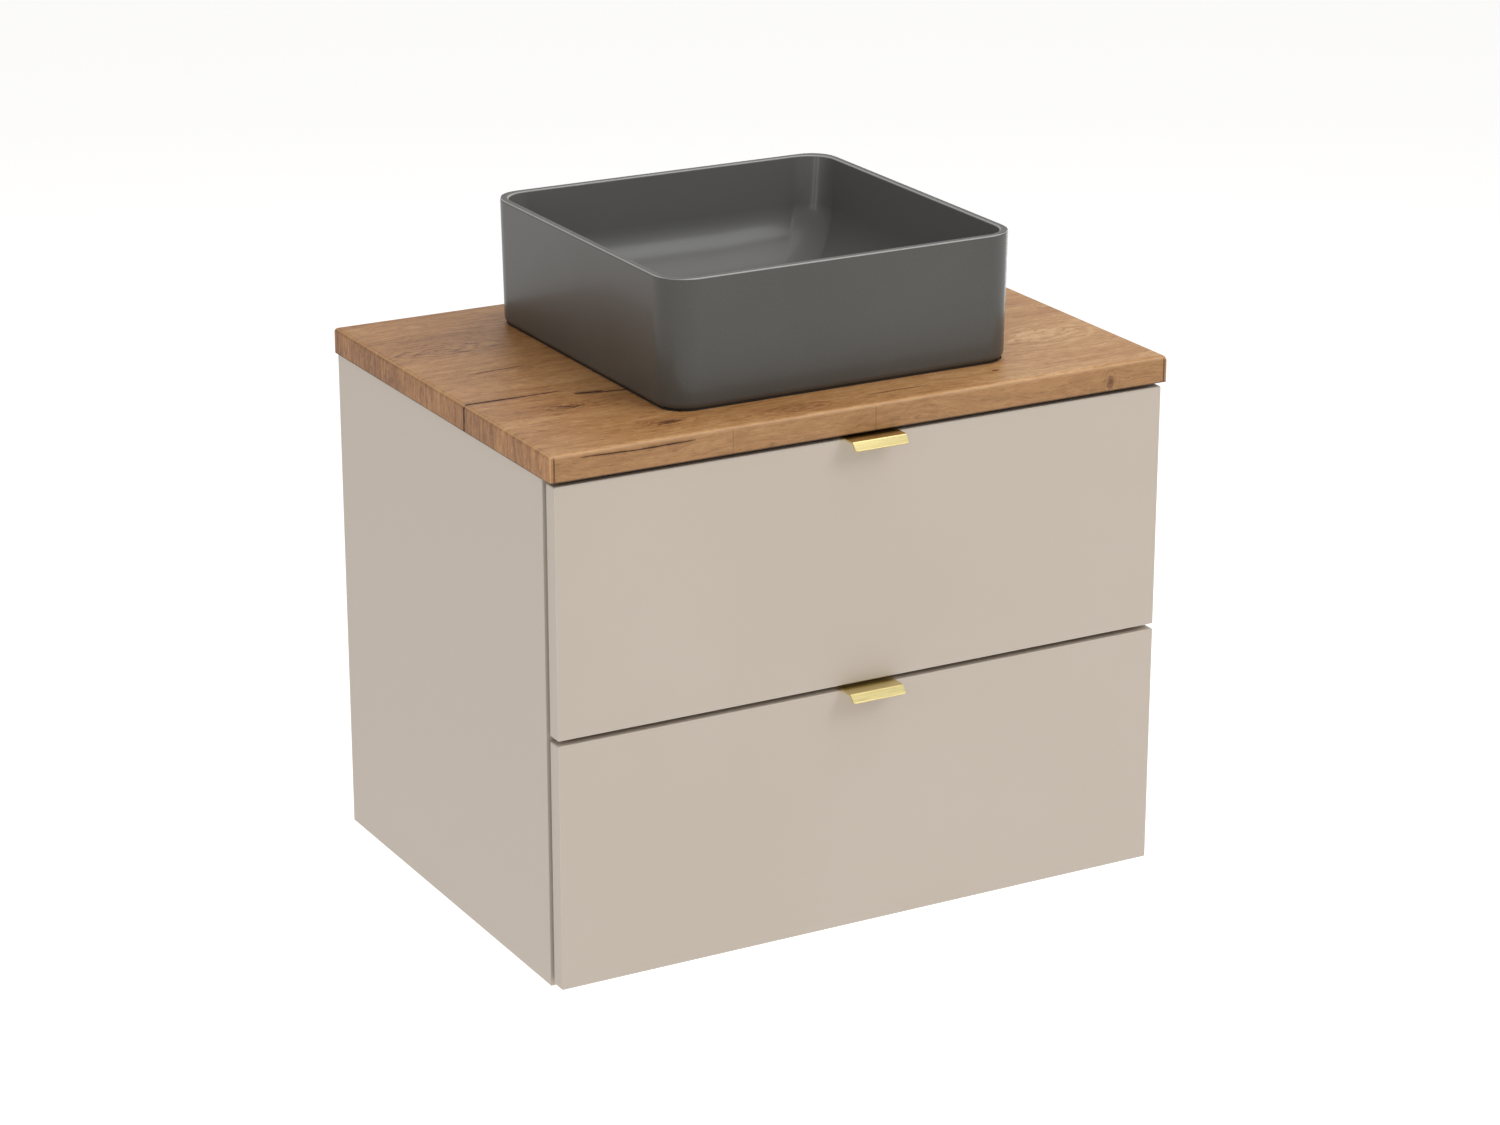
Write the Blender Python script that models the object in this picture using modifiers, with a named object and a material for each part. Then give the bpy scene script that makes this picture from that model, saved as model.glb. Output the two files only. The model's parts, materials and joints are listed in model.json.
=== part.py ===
"""Wall-hung vanity unit with two drawers, a laminate worktop and a square vessel basin.

Metres, +Z up, +X to the right of a person who faces the unit, +Y into the wall.
The origin is the wall mount: the middle of the hanging rail's back face.
"""
import math

import bmesh
import bpy
from mathutils import Vector

# Clearance between pieces that touch
GAP = 0.0003

# Carcass
WIDTH = 0.600
DEPTH = 0.418
HEIGHT = 0.457
BOARD = 0.016
EDGE = 0.0008
RAIL_HEIGHT = 0.070
TOP = RAIL_HEIGHT / 2
BOTTOM = TOP - HEIGHT
INNER = WIDTH / 2 - BOARD
FRONT_RAIL_DEPTH = 0.080
FRONT_RAIL_SETBACK = 0.008
LOWER_RAIL_HEIGHT = 0.070
SERVICE_SETBACK = 0.040
HANGER_WIDTH = 0.018
HANGER_DEPTH = 0.042
HANGER_DROP = 0.062
HOOK_NOTCH = 0.034

# Worktop
TOP_THICKNESS = 0.024
TOP_OVERHANG = 0.003
TOP_DEPTH = 0.439
TOP_ROUND = 0.004
WORKTOP_LOW = TOP + GAP
WORKTOP_HIGH = WORKTOP_LOW + TOP_THICKNESS

# Drawer fronts and the handles folded over their top edges
FRONT_WIDTH = 0.597
FRONT_HEIGHT = 0.223
FRONT_THICKNESS = 0.016
FRONT_GAP = 0.0045
FRONT_CLEARANCE = 0.003
FRONT_REAR = -(DEPTH + FRONT_CLEARANCE)
FRONT_FACE = FRONT_REAR - FRONT_THICKNESS
LOWER_FRONT_LOW = BOTTOM + 0.003
UPPER_FRONT_LOW = LOWER_FRONT_LOW + FRONT_HEIGHT + FRONT_GAP
HANDLE_WIDTH = 0.053
HANDLE_SHEET = 0.0018
HANDLE_REACH = 0.0155
HANDLE_LIP = 0.006
HANDLE_LEG = 0.022
HANDLE_BEND = 0.0015
SCREW_SPACING = 0.032
SCREW_DROP = 0.013

# Drawer boxes
SLIDE_LENGTH = 0.350
TRAVEL = 0.340
DRAWER_BACK = FRONT_REAR - GAP + SLIDE_LENGTH
DRAWER_SIDE = 0.012
DRAWER_OUTER = INNER - 0.0132
DRAWER_INNER = DRAWER_OUTER - DRAWER_SIDE
BASE_THICKNESS = 0.008
BASE_LIFT = 0.010
UPPER_SIDE_HEIGHT = 0.120
LOWER_SIDE_HEIGHT = 0.160
LOWER_BOX_LIFT = 0.022
BRACKET = 0.025
BRACKET_SHEET = 0.002

# Runners: web offset from the side panel, reach, half height of each member
SLIDE_SHEET = 0.0012
SLIDE_FRONT = -(DEPTH - 0.004)
FIXED_MEMBER = (0.0003, 0.0105, 0.0210)
MIDDLE_MEMBER = (0.0030, 0.0090, 0.0165)
DRAWER_MEMBER = (0.0056, 0.0129, 0.0120)
RUNNER_RISE = 0.040

# Basin
BASIN_X = 0.007
BASIN_Y = -0.215
BASIN_HALF = 0.173
BASIN_HEIGHT = 0.116
BASIN_TAPER = 0.002
BASIN_CORNER = 0.030
BASIN_RIM = 0.007
RIM_ROUND = 0.0020
BASE_ROUND = 0.008
BOWL_HALF = 0.158
BOWL_FLOOR = 0.015
BOWL_FILLET = 0.038
BOWL_CORNER = 0.028
RECESS_RADIUS = 0.034
RECESS_DEPTH = 0.0035
WASTE_HOLE = 0.0225
CORNER_STEPS = 5
BASIN_LOW = WORKTOP_HIGH + GAP

# Waste and bottle trap on the basin's axis
RECESS_Z = BASIN_LOW + BOWL_FLOOR - RECESS_DEPTH
TAIL_RADIUS = 0.0205
TAIL_BORE = 0.0175
TAIL_LENGTH = 0.088
TAIL_LOW = RECESS_Z + 0.002 - TAIL_LENGTH
OUTLET_RADIUS = 0.016
OUTLET_BORE = 0.014
OUTLET_Z = -0.085
BOTTLE_RADIUS = 0.032
BOTTLE_WALL = 0.0025
BOTTLE_HIGH = -0.045
BOTTLE_LOW = -0.135
CUP_RADIUS = 0.0355
CUP_LOW = -0.162
BOSS_RADIUS = 0.0195
BOSS_REACH = 0.055
PLUG_TRAVEL = 0.008
TURN_STEPS = 28

# Recess in the upper drawer that clears the trap
BAY_HALF = 0.050
BAY_WALL = 0.008
BAY_FRONT = BASIN_Y - 0.056


def linear(red, green, blue):
    """Scene colour of an eight-bit display colour."""
    def channel(value):
        value = value / 255.0
        if value <= 0.04045:
            return value / 12.92
        return ((value + 0.055) / 1.055) ** 2.4
    return channel(red), channel(green), channel(blue), 1.0


FINISHES = {
    "taupe_lacquer": (linear(201, 190, 176), 0.42, 0.0),
    "drawer_board": (linear(176, 172, 166), 0.50, 0.0),
    "oak_laminate": (linear(184, 144, 106), 0.48, 0.0),
    "graphite_glaze": (linear(92, 91, 89), 0.36, 0.0),
    "brushed_brass": (linear(205, 160, 84), 0.30, 1.0),
    "zinc_steel": (linear(176, 178, 182), 0.34, 1.0),
    "chrome_plate": (linear(214, 216, 220), 0.10, 1.0),
    "white_plastic": (linear(226, 226, 222), 0.45, 0.0),
    "black_rubber": (linear(34, 34, 35), 0.75, 0.0),
}


def clear_scene():
    for obj in list(bpy.data.objects):
        bpy.data.objects.remove(obj, do_unlink=True)


def new_collection(name):
    collection = bpy.data.collections.new(name)
    bpy.context.scene.collection.children.link(collection)
    return collection


clear_scene()
PARTS = new_collection("vessel_sink_vanity")
CUTTERS = new_collection("cutters")


def add_material(obj, finish):
    """Give the object its own Principled material."""
    color, roughness, metallic = FINISHES[finish]
    material = bpy.data.materials.new(obj.name)
    material.use_nodes = True
    shader = material.node_tree.nodes["Principled BSDF"]
    shader.inputs["Base Color"].default_value = color
    shader.inputs["Roughness"].default_value = roughness
    shader.inputs["Metallic"].default_value = metallic
    material.diffuse_color = color
    obj.data.materials.append(material)


def place(obj, centre, parent=None):
    """Put the object at a world place, under its parent."""
    obj.location = Vector(centre)
    if parent is not None:
        obj.parent = parent
        obj.location -= parent.location


def add_part(name, mesh, finish, centre, parent=None):
    obj = bpy.data.objects.new(name, mesh)
    PARTS.objects.link(obj)
    place(obj, centre, parent)
    add_material(obj, finish)
    return obj


def empty(name, centre):
    obj = bpy.data.objects.new(name, None)
    obj.empty_display_size = 0.05
    obj.location = centre
    PARTS.objects.link(obj)
    return obj


def box_mesh(name, low, high):
    """Mesh of a box centred on its own origin, and the box's centre."""
    low = Vector(low)
    high = Vector(high)
    bm = bmesh.new()
    bmesh.ops.create_cube(bm, size=1.0)
    bmesh.ops.scale(bm, vec=high - low, verts=bm.verts)
    mesh = bpy.data.meshes.new(name)
    bm.to_mesh(mesh)
    bm.free()
    return mesh, (low + high) / 2


def block(name, low, high, finish, parent=None, edge=0.0):
    """Box between two corners, with its edges eased when edge is given."""
    mesh, centre = box_mesh(name, low, high)
    obj = add_part(name, mesh, finish, centre, parent)
    if edge:
        bevel = obj.modifiers.new("eased_edges", "BEVEL")
        bevel.width = edge
        bevel.segments = 1
    return obj


def boolean(obj, tool, operation):
    """Cut with or join a tool object that is hidden from renders."""
    tool.hide_render = True
    tool.display_type = "WIRE"
    modifier = obj.modifiers.new(operation.lower(), "BOOLEAN")
    modifier.operation = operation
    modifier.solver = "EXACT"
    modifier.object = tool


def box_tool(obj, low, high, operation="DIFFERENCE"):
    mesh, centre = box_mesh(obj.name + "_tool", low, high)
    tool = bpy.data.objects.new(obj.name + "_tool", mesh)
    CUTTERS.objects.link(tool)
    place(tool, centre, obj.parent)
    boolean(obj, tool, operation)


def rod_tool(obj, start, end, radius, operation="DIFFERENCE", sides=TURN_STEPS):
    """Cut or join a cylinder that runs from start to end."""
    start = Vector(start)
    end = Vector(end)
    bm = bmesh.new()
    bmesh.ops.create_cone(bm, cap_ends=True, segments=sides, radius1=radius,
                          radius2=radius, depth=(end - start).length)
    mesh = bpy.data.meshes.new(obj.name + "_rod")
    bm.to_mesh(mesh)
    bm.free()
    tool = bpy.data.objects.new(obj.name + "_rod", mesh)
    CUTTERS.objects.link(tool)
    tool.rotation_euler = Vector((0, 0, 1)).rotation_difference(end - start).to_euler()
    place(tool, (start + end) / 2, obj.parent)
    boolean(obj, tool, operation)


def turned(name, profile, finish, centre, closed=True, parent=None, steps=TURN_STEPS):
    """Turn (radius, height) points about Z; a closed profile makes a ring."""
    count = len(profile)
    edges = [(i, i + 1) for i in range(count - 1)]
    if closed:
        edges.append((count - 1, 0))
    mesh = bpy.data.meshes.new(name)
    mesh.from_pydata([(radius, 0.0, height) for radius, height in profile], edges, [])
    obj = add_part(name, mesh, finish, centre, parent)
    screw = obj.modifiers.new("turn", "SCREW")
    screw.axis = "Z"
    screw.steps = steps
    screw.render_steps = steps
    screw.use_merge_vertices = True
    screw.merge_threshold = 0.00005
    return obj


def ring_profile(inner, outer, low, high):
    return [(outer, high), (outer, low), (inner, low), (inner, high)]


def rounded(points, radii, steps):
    """Outline with an arc of steps segments at each corner that has a radius."""
    result = []
    count = len(points)
    for index, corner in enumerate(points):
        corner = Vector(corner)
        radius = radii[index]
        if not radius:
            result.append(corner)
            continue
        before = (Vector(points[index - 1]) - corner).normalized()
        after = (Vector(points[(index + 1) % count]) - corner).normalized()
        half_angle = before.angle(after) / 2
        centre = corner + (before + after).normalized() * radius / math.sin(half_angle)
        start = (corner + before * radius / math.tan(half_angle) - centre).normalized()
        end = (corner + after * radius / math.tan(half_angle) - centre).normalized()
        for step in range(steps + 1):
            result.append(centre + start.slerp(end, step / steps) * radius)
    return result


def mirrored(side, low, high):
    """Corners of a box given on the right, moved to the side -1 or 1."""
    xs = sorted((low[0] * side, high[0] * side))
    return (xs[0], low[1], low[2]), (xs[1], high[1], high[2])


SIDES = {"left": -1, "right": 1}


def build_carcass():
    reach = INNER - GAP
    for word, side in SIDES.items():
        low, high = mirrored(side, (INNER, -DEPTH, BOTTOM), (WIDTH / 2, 0, TOP))
        block("side_panel_" + word, low, high, "taupe_lacquer", edge=EDGE)
    block("bottom_panel", (-reach, -DEPTH, BOTTOM), (reach, -SERVICE_SETBACK, BOTTOM + BOARD),
          "taupe_lacquer", edge=EDGE)
    rail_front = FRONT_RAIL_SETBACK - DEPTH
    block("front_rail", (-reach, rail_front, TOP - BOARD),
          (reach, rail_front + FRONT_RAIL_DEPTH, TOP), "taupe_lacquer", edge=EDGE)
    rail = block("hanging_rail", (-reach, -BOARD, -TOP), (reach, 0, TOP), "taupe_lacquer")
    for side in SIDES.values():
        low, high = mirrored(side, (reach - HANGER_WIDTH, -BOARD - 0.001, -HOOK_NOTCH / 2),
                             (INNER + 0.001, 0.001, HOOK_NOTCH / 2))
        box_tool(rail, low, high)
    block("rear_rail_lower", (-reach, -BOARD, BOTTOM),
          (reach, 0, BOTTOM + LOWER_RAIL_HEIGHT), "taupe_lacquer", edge=EDGE)


def build_hangers():
    """Hanger bodies behind the rail whose hooks reach through its notches."""
    reach = INNER - 2 * GAP
    body_rear = -BOARD - GAP
    for word, side in SIDES.items():
        low, high = mirrored(side, (reach - HANGER_WIDTH + 0.002, body_rear - HANGER_DEPTH, -HANGER_DROP / 2),
                             (reach, body_rear, HANGER_DROP / 2))
        hanger = block("hanger_" + word, low, high, "white_plastic", edge=0.001)
        nose_low, nose_high = mirrored(side, (reach - 0.012, body_rear - 0.01, 0.004),
                                       (reach - 0.004, -0.002, 0.013))
        box_tool(hanger, nose_low, nose_high, "UNION")
        tip_low, tip_high = mirrored(side, (reach - 0.012, -0.006, -0.012), (reach - 0.004, -0.002, 0.006))
        box_tool(hanger, tip_low, tip_high, "UNION")


def build_worktop():
    half = WIDTH / 2 + TOP_OVERHANG
    mesh, centre = box_mesh("worktop", (-half, -TOP_DEPTH, WORKTOP_LOW), (half, 0, WORKTOP_HIGH))
    worktop = add_part("worktop", mesh, "oak_laminate", centre)
    bm = bmesh.new()
    bm.from_mesh(mesh)
    rim = [edge for edge in bm.edges if all(vert.co.z > 0 for vert in edge.verts)]
    bmesh.ops.bevel(bm, geom=rim, offset=TOP_ROUND, segments=3, affect="EDGES", profile=0.5)
    bm.to_mesh(mesh)
    bm.free()
    rod_tool(worktop, (BASIN_X, BASIN_Y, WORKTOP_LOW - 0.01), (BASIN_X, BASIN_Y, WORKTOP_HIGH + 0.01),
             WASTE_HOLE + 0.001)
    reach = INNER - GAP
    for word, side in SIDES.items():
        for place_word, y in (("front", -0.310), ("rear", -0.120)):
            low, high = mirrored(side, (reach - BRACKET, y, TOP - BRACKET), (reach, y + 0.02, TOP))
            bracket = block(f"worktop_bracket_{place_word}_{word}", low, high, "zinc_steel")
            low, high = mirrored(side, (reach - BRACKET - 0.001, y - 0.001, TOP - BRACKET - 0.001),
                                 (reach - BRACKET_SHEET, y + 0.021, TOP - BRACKET_SHEET))
            box_tool(bracket, low, high)


def corner_ring(half, radius, height):
    """Points round a square with rounded corners, or a circle when half equals radius."""
    round_ring = half - radius < 1e-6
    points = []
    for quarter in range(4):
        for step in range(CORNER_STEPS + 1):
            part = (step + 0.5) / (CORNER_STEPS + 1) if round_ring else step / CORNER_STEPS
            angle = (quarter + part) * math.pi / 2
            middle = (quarter + 0.5) * math.pi / 2
            x = math.copysign(half - radius, math.cos(middle)) + radius * math.cos(angle)
            y = math.copysign(half - radius, math.sin(middle)) + radius * math.sin(angle)
            points.append(Vector((x, y, height)))
    return points


def basin_corner_radius(half, inside):
    """Plan corner radius of the basin's ring of this half width."""
    if half <= RECESS_RADIUS:
        return half
    if not inside:
        return BASIN_CORNER - (BASIN_HALF - half)
    flat = BOWL_HALF - BOWL_FILLET
    blend = min(max((flat - half) / (flat - RECESS_RADIUS), 0.0), 1.0)
    return BOWL_CORNER + (half - BOWL_CORNER) * blend


def basin_section():
    """Half width and height round the basin's wall, from the waste hole outwards."""
    outline = [
        (WASTE_HOLE, 0.0),
        (BASIN_HALF - BASIN_TAPER, 0.0),
        (BASIN_HALF, BASIN_HEIGHT),
        (BASIN_HALF - BASIN_RIM, BASIN_HEIGHT),
        (BOWL_HALF, BOWL_FLOOR),
        (RECESS_RADIUS, BOWL_FLOOR - 0.001),
        (RECESS_RADIUS - 0.001, BOWL_FLOOR - RECESS_DEPTH),
        (WASTE_HOLE, BOWL_FLOOR - RECESS_DEPTH),
    ]
    radii = [0, BASE_ROUND, RIM_ROUND, RIM_ROUND, BOWL_FILLET, 0, 0, 0]
    return rounded(outline, radii, steps=4)


def build_basin():
    bm = bmesh.new()
    rings = []
    rim_passed = False
    for half, height in basin_section():
        rim_passed = rim_passed or height > BASIN_HEIGHT - 1e-6
        radius = basin_corner_radius(half, inside=rim_passed)
        rings.append([bm.verts.new(point) for point in corner_ring(half, radius, height)])
    for index, ring in enumerate(rings):
        following = rings[(index + 1) % len(rings)]
        for step in range(len(ring)):
            after = (step + 1) % len(ring)
            bm.faces.new((ring[step], ring[after], following[after], following[step]))
    bmesh.ops.recalc_face_normals(bm, faces=bm.faces)
    mesh = bpy.data.meshes.new("basin")
    bm.to_mesh(mesh)
    bm.free()
    add_part("basin", mesh, "graphite_glaze", (BASIN_X, BASIN_Y, BASIN_LOW))


def build_waste():
    """Click waste: flanged tail, seals, nut and the plug that presses down."""
    axis = (BASIN_X, BASIN_Y, 0)
    seal_top = RECESS_Z + 0.002
    turned("waste_seal", ring_profile(TAIL_RADIUS + 0.001, 0.030, RECESS_Z + GAP, seal_top),
           "black_rubber", axis)
    flange_low = seal_top + GAP
    turned("waste_body", [
        (0.0318, flange_low + 0.0025),
        (0.0318, flange_low),
        (TAIL_RADIUS, flange_low),
        (TAIL_RADIUS, TAIL_LOW),
        (TAIL_BORE, TAIL_LOW),
        (TAIL_BORE, flange_low + 0.0025),
    ], "chrome_plate", axis)
    washer_high = WORKTOP_LOW - GAP
    turned("waste_washer", ring_profile(TAIL_RADIUS + GAP, 0.032, washer_high - 0.003, washer_high),
           "black_rubber", axis)
    nut_high = washer_high - 0.003 - GAP
    nut_low = nut_high - 0.009
    nut = turned("waste_nut", [(0, nut_high), (0.030, nut_high), (0.030, nut_low), (0, nut_low)],
                 "zinc_steel", axis, closed=False, steps=6)
    rod_tool(nut, (BASIN_X, BASIN_Y, nut_low - 0.01), (BASIN_X, BASIN_Y, nut_high + 0.01),
             TAIL_RADIUS + 0.001)
    plug = empty("plug_slider", (BASIN_X, BASIN_Y, flange_low))
    cap_low = PLUG_TRAVEL + 0.0035
    turned("waste_plug", [
        (0.0, cap_low + 0.0055),
        (0.016, cap_low + 0.005),
        (0.026, cap_low + 0.0035),
        (0.0295, cap_low + 0.0015),
        (0.0295, cap_low),
        (0.006, cap_low),
        (0.006, -0.030),
        (0.0, -0.030),
    ], "chrome_plate", (BASIN_X, BASIN_Y, flange_low), closed=False, parent=plug)


def build_trap():
    """Bottle trap under the waste, with its outlet running back to the wall."""
    axis = (BASIN_X, BASIN_Y, 0)
    collar_high = TAIL_LOW - GAP
    turned("trap_inlet_tube", [
        (0.0200, collar_high),
        (0.0200, collar_high - 0.003),
        (OUTLET_RADIUS, collar_high - 0.003),
        (OUTLET_RADIUS, BOTTLE_LOW + 0.012),
        (OUTLET_BORE, BOTTLE_LOW + 0.012),
        (OUTLET_BORE, collar_high),
    ], "white_plastic", axis)
    nut_low = collar_high - 0.007
    turned("trap_nut", [
        (0.0265, nut_low + 0.020),
        (0.0265, nut_low),
        (OUTLET_RADIUS + GAP, nut_low),
        (OUTLET_RADIUS + GAP, collar_high - 0.003 - GAP),
        (TAIL_RADIUS + GAP, collar_high - 0.003 - GAP),
        (TAIL_RADIUS + GAP, nut_low + 0.020),
    ], "white_plastic", axis)
    inner = BOTTLE_RADIUS - BOTTLE_WALL
    bottle = turned("trap_body", [
        (0.0215, BOTTLE_HIGH + 0.010),
        (0.0215, BOTTLE_HIGH),
        (BOTTLE_RADIUS - 0.004, BOTTLE_HIGH - 0.001),
        (BOTTLE_RADIUS, BOTTLE_HIGH - 0.006),
        (BOTTLE_RADIUS, BOTTLE_LOW),
        (inner, BOTTLE_LOW),
        (inner, BOTTLE_HIGH - 0.006),
        (OUTLET_RADIUS + GAP, BOTTLE_HIGH - 0.003),
        (OUTLET_RADIUS + GAP, BOTTLE_HIGH + 0.010),
    ], "white_plastic", axis)
    boss_end = BASIN_Y + BOSS_REACH
    wall_start = BASIN_Y + inner - 0.004
    rod_tool(bottle, (BASIN_X, wall_start, OUTLET_Z), (BASIN_X, boss_end, OUTLET_Z), BOSS_RADIUS, "UNION")
    rod_tool(bottle, (BASIN_X, BASIN_Y + 0.018, OUTLET_Z), (BASIN_X, boss_end + 0.01, OUTLET_Z),
             OUTLET_RADIUS + GAP)
    turned("trap_cup", [
        (0.0, CUP_LOW + BOTTLE_WALL),
        (CUP_RADIUS - 0.011, CUP_LOW + BOTTLE_WALL),
        (CUP_RADIUS - 0.0065, CUP_LOW + 0.007),
        (inner, BOTTLE_LOW - 2 * GAP),
        (BOTTLE_RADIUS + GAP, BOTTLE_LOW - 2 * GAP),
        (BOTTLE_RADIUS + GAP, BOTTLE_LOW + 0.014),
        (CUP_RADIUS, BOTTLE_LOW + 0.014),
        (CUP_RADIUS, BOTTLE_LOW - 0.004),
        (CUP_RADIUS - 0.004, CUP_LOW + 0.006),
        (CUP_RADIUS - 0.010, CUP_LOW),
        (0.0, CUP_LOW),
    ], "white_plastic", axis, closed=False)
    start = BASIN_Y + BOTTLE_RADIUS
    outlet = turned("trap_outlet_tube", ring_profile(OUTLET_BORE, OUTLET_RADIUS, 0, -start),
                    "white_plastic", (BASIN_X, start, OUTLET_Z))
    outlet.rotation_euler = (-math.pi / 2, 0, 0)


def channel(name, member, side, rise, parent=None, facing=1):
    """Rolled runner member on one side; facing 1 opens inwards, -1 towards the panel."""
    near, far, half = member
    low, high = mirrored(side, (INNER - far, SLIDE_FRONT, rise - half),
                         (INNER - near, SLIDE_FRONT + SLIDE_LENGTH, rise + half))
    rail = block(name, low, high, "zinc_steel", parent)
    web_near = SLIDE_SHEET if facing == 1 else -0.001
    web_far = -0.001 if facing == 1 else SLIDE_SHEET
    low, high = mirrored(side, (INNER - far + web_far, SLIDE_FRONT - 0.001, rise - half + SLIDE_SHEET),
                         (INNER - near - web_near, SLIDE_FRONT + SLIDE_LENGTH + 0.001,
                          rise + half - SLIDE_SHEET))
    box_tool(rail, low, high)


def build_handle(name, front_high, parent):
    """Folded brass sheet: leg behind the front, flange over its top edge, sloped lip."""
    rear = FRONT_REAR + GAP
    sheet_low = front_high + GAP
    bend = FRONT_FACE - HANDLE_REACH
    path = rounded([
        (rear, sheet_low - HANDLE_LEG),
        (rear, sheet_low),
        (bend, sheet_low),
        (bend - HANDLE_LIP, sheet_low - HANDLE_LIP),
    ], [0, HANDLE_BEND, HANDLE_BEND, 0], steps=3)
    bm = bmesh.new()
    verts = [bm.verts.new((-HANDLE_WIDTH / 2, y - FRONT_FACE, z - front_high)) for y, z in path]
    edges = [bm.edges.new(pair) for pair in zip(verts, verts[1:])]
    swept = bmesh.ops.extrude_edge_only(bm, edges=edges)["geom"]
    moved = [item for item in swept if isinstance(item, bmesh.types.BMVert)]
    bmesh.ops.translate(bm, vec=(HANDLE_WIDTH, 0, 0), verts=moved)
    mesh = bpy.data.meshes.new(name)
    bm.to_mesh(mesh)
    bm.free()
    handle = add_part(name, mesh, "brushed_brass", (0, FRONT_FACE, front_high), parent)
    solid = handle.modifiers.new("sheet", "SOLIDIFY")
    solid.thickness = HANDLE_SHEET
    solid.offset = -1.0
    solid.use_even_offset = True
    bevel = handle.modifiers.new("eased_edges", "BEVEL")
    bevel.width = 0.0003
    bevel.segments = 1
    bevel.angle_limit = math.radians(60)
    return handle


def build_handle_screws(name, handle, front, front_high, parent):
    """Two screws through the handle's rear leg into the back of the front."""
    z = front_high - SCREW_DROP
    leg_rear = FRONT_REAR + GAP + HANDLE_SHEET
    for word, side in SIDES.items():
        x = side * SCREW_SPACING / 2
        rod_tool(handle, (x, FRONT_REAR - 0.002, z), (x, leg_rear + 0.002, z), 0.0021, sides=12)
        rod_tool(front, (x, FRONT_REAR - 0.011, z), (x, FRONT_REAR + 0.002, z), 0.0019, sides=12)
        screw = turned(name + "_" + word, [
            (0.0, 0.0006),
            (0.0018, 0.0005),
            (0.0032, 0.0),
            (0.0016, 0.0),
            (0.0016, -0.012),
            (0.0, -0.012),
        ], "zinc_steel", (x, leg_rear + GAP / 2, z), closed=False, parent=parent, steps=12)
        screw.rotation_euler = (-math.pi / 2, 0, 0)


def build_front_bracket(name, side, middle_z, parent):
    """Folded angle that ties the drawer side to the back of the front."""
    corner_x = DRAWER_INNER - GAP
    rear_y = FRONT_REAR + 2 * GAP
    low, high = mirrored(side, (corner_x - BRACKET, rear_y, middle_z - 0.03),
                         (corner_x, rear_y + BRACKET, middle_z + 0.03))
    bracket = block(name, low, high, "zinc_steel", parent)
    low, high = mirrored(side, (corner_x - BRACKET - 0.001, rear_y + BRACKET_SHEET, middle_z - 0.031),
                         (corner_x - BRACKET_SHEET, rear_y + BRACKET + 0.001, middle_z + 0.031))
    box_tool(bracket, low, high)


def build_drawer(word, front_low, box_lift, side_height):
    """One drawer: front, handle, box and the drawer members of its runners."""
    front_high = front_low + FRONT_HEIGHT
    box_low = front_low + box_lift
    box_high = box_low + side_height
    parent = empty(word + "_drawer_slider", (0, FRONT_FACE, (front_low + front_high) / 2))
    prefix = word + "_"
    half = FRONT_WIDTH / 2
    front = block(prefix + "front", (-half, FRONT_FACE, front_low), (half, FRONT_REAR, front_high),
                  "taupe_lacquer", parent, edge=0.0012)
    handle = build_handle(prefix + "handle", front_high, parent)
    build_handle_screws(prefix + "handle_screw", handle, front, front_high, parent)
    rise = box_low + RUNNER_RISE
    middle = empty(word + "_runner_slider", (0, SLIDE_FRONT, rise))
    box_front = FRONT_REAR + GAP
    for side_word, side in SIDES.items():
        low, high = mirrored(side, (DRAWER_INNER, box_front, box_low), (DRAWER_OUTER, DRAWER_BACK, box_high))
        block(prefix + "side_" + side_word, low, high, "drawer_board", parent, edge=0.0005)
        build_front_bracket(prefix + "front_bracket_" + side_word, side, box_low + 0.045, parent)
        channel(prefix + "runner_fixed_" + side_word, FIXED_MEMBER, side, rise)
        channel(prefix + "runner_middle_" + side_word, MIDDLE_MEMBER, side, rise, middle)
        channel(prefix + "runner_drawer_" + side_word, DRAWER_MEMBER, side, rise, parent, facing=-1)
    reach = DRAWER_INNER - GAP
    base = block(prefix + "base", (-reach, box_front, box_low + 0.002),
                 (reach, DRAWER_BACK, box_low + 0.002 + BASE_THICKNESS), "drawer_board", parent)
    return parent, base, box_low + 0.002 + BASE_THICKNESS + GAP, box_high


def build_upper_drawer():
    parent, base, floor, high = build_drawer("upper", UPPER_FRONT_LOW, BASE_LIFT, UPPER_SIDE_HEIGHT)
    left = BASIN_X - BAY_HALF
    right = BASIN_X + BAY_HALF
    box_tool(base, (left, BAY_FRONT, floor - 0.02), (right, DRAWER_BACK + 0.01, floor + 0.01))
    bay = block("upper_trap_bay", (left - BAY_WALL, BAY_FRONT - BAY_WALL, floor),
                (right + BAY_WALL, DRAWER_BACK, high), "drawer_board", parent)
    box_tool(bay, (left, BAY_FRONT, floor - 0.01), (right, DRAWER_BACK + 0.01, high + 0.01))
    reach = DRAWER_INNER - GAP
    rear_low = DRAWER_BACK - DRAWER_SIDE
    block("upper_back_left", (-reach, rear_low, floor), (left - BAY_WALL - GAP, DRAWER_BACK, high),
          "drawer_board", parent, edge=0.0005)
    block("upper_back_right", (right + BAY_WALL + GAP, rear_low, floor), (reach, DRAWER_BACK, high),
          "drawer_board", parent, edge=0.0005)


def build_lower_drawer():
    parent, _, floor, high = build_drawer("lower", LOWER_FRONT_LOW, LOWER_BOX_LIFT, LOWER_SIDE_HEIGHT)
    reach = DRAWER_INNER - GAP
    block("lower_back", (-reach, DRAWER_BACK - DRAWER_SIDE, floor), (reach, DRAWER_BACK, high),
          "drawer_board", parent, edge=0.0005)


build_carcass()
build_hangers()
build_worktop()
build_basin()
build_waste()
build_trap()
build_upper_drawer()
build_lower_drawer()
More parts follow.
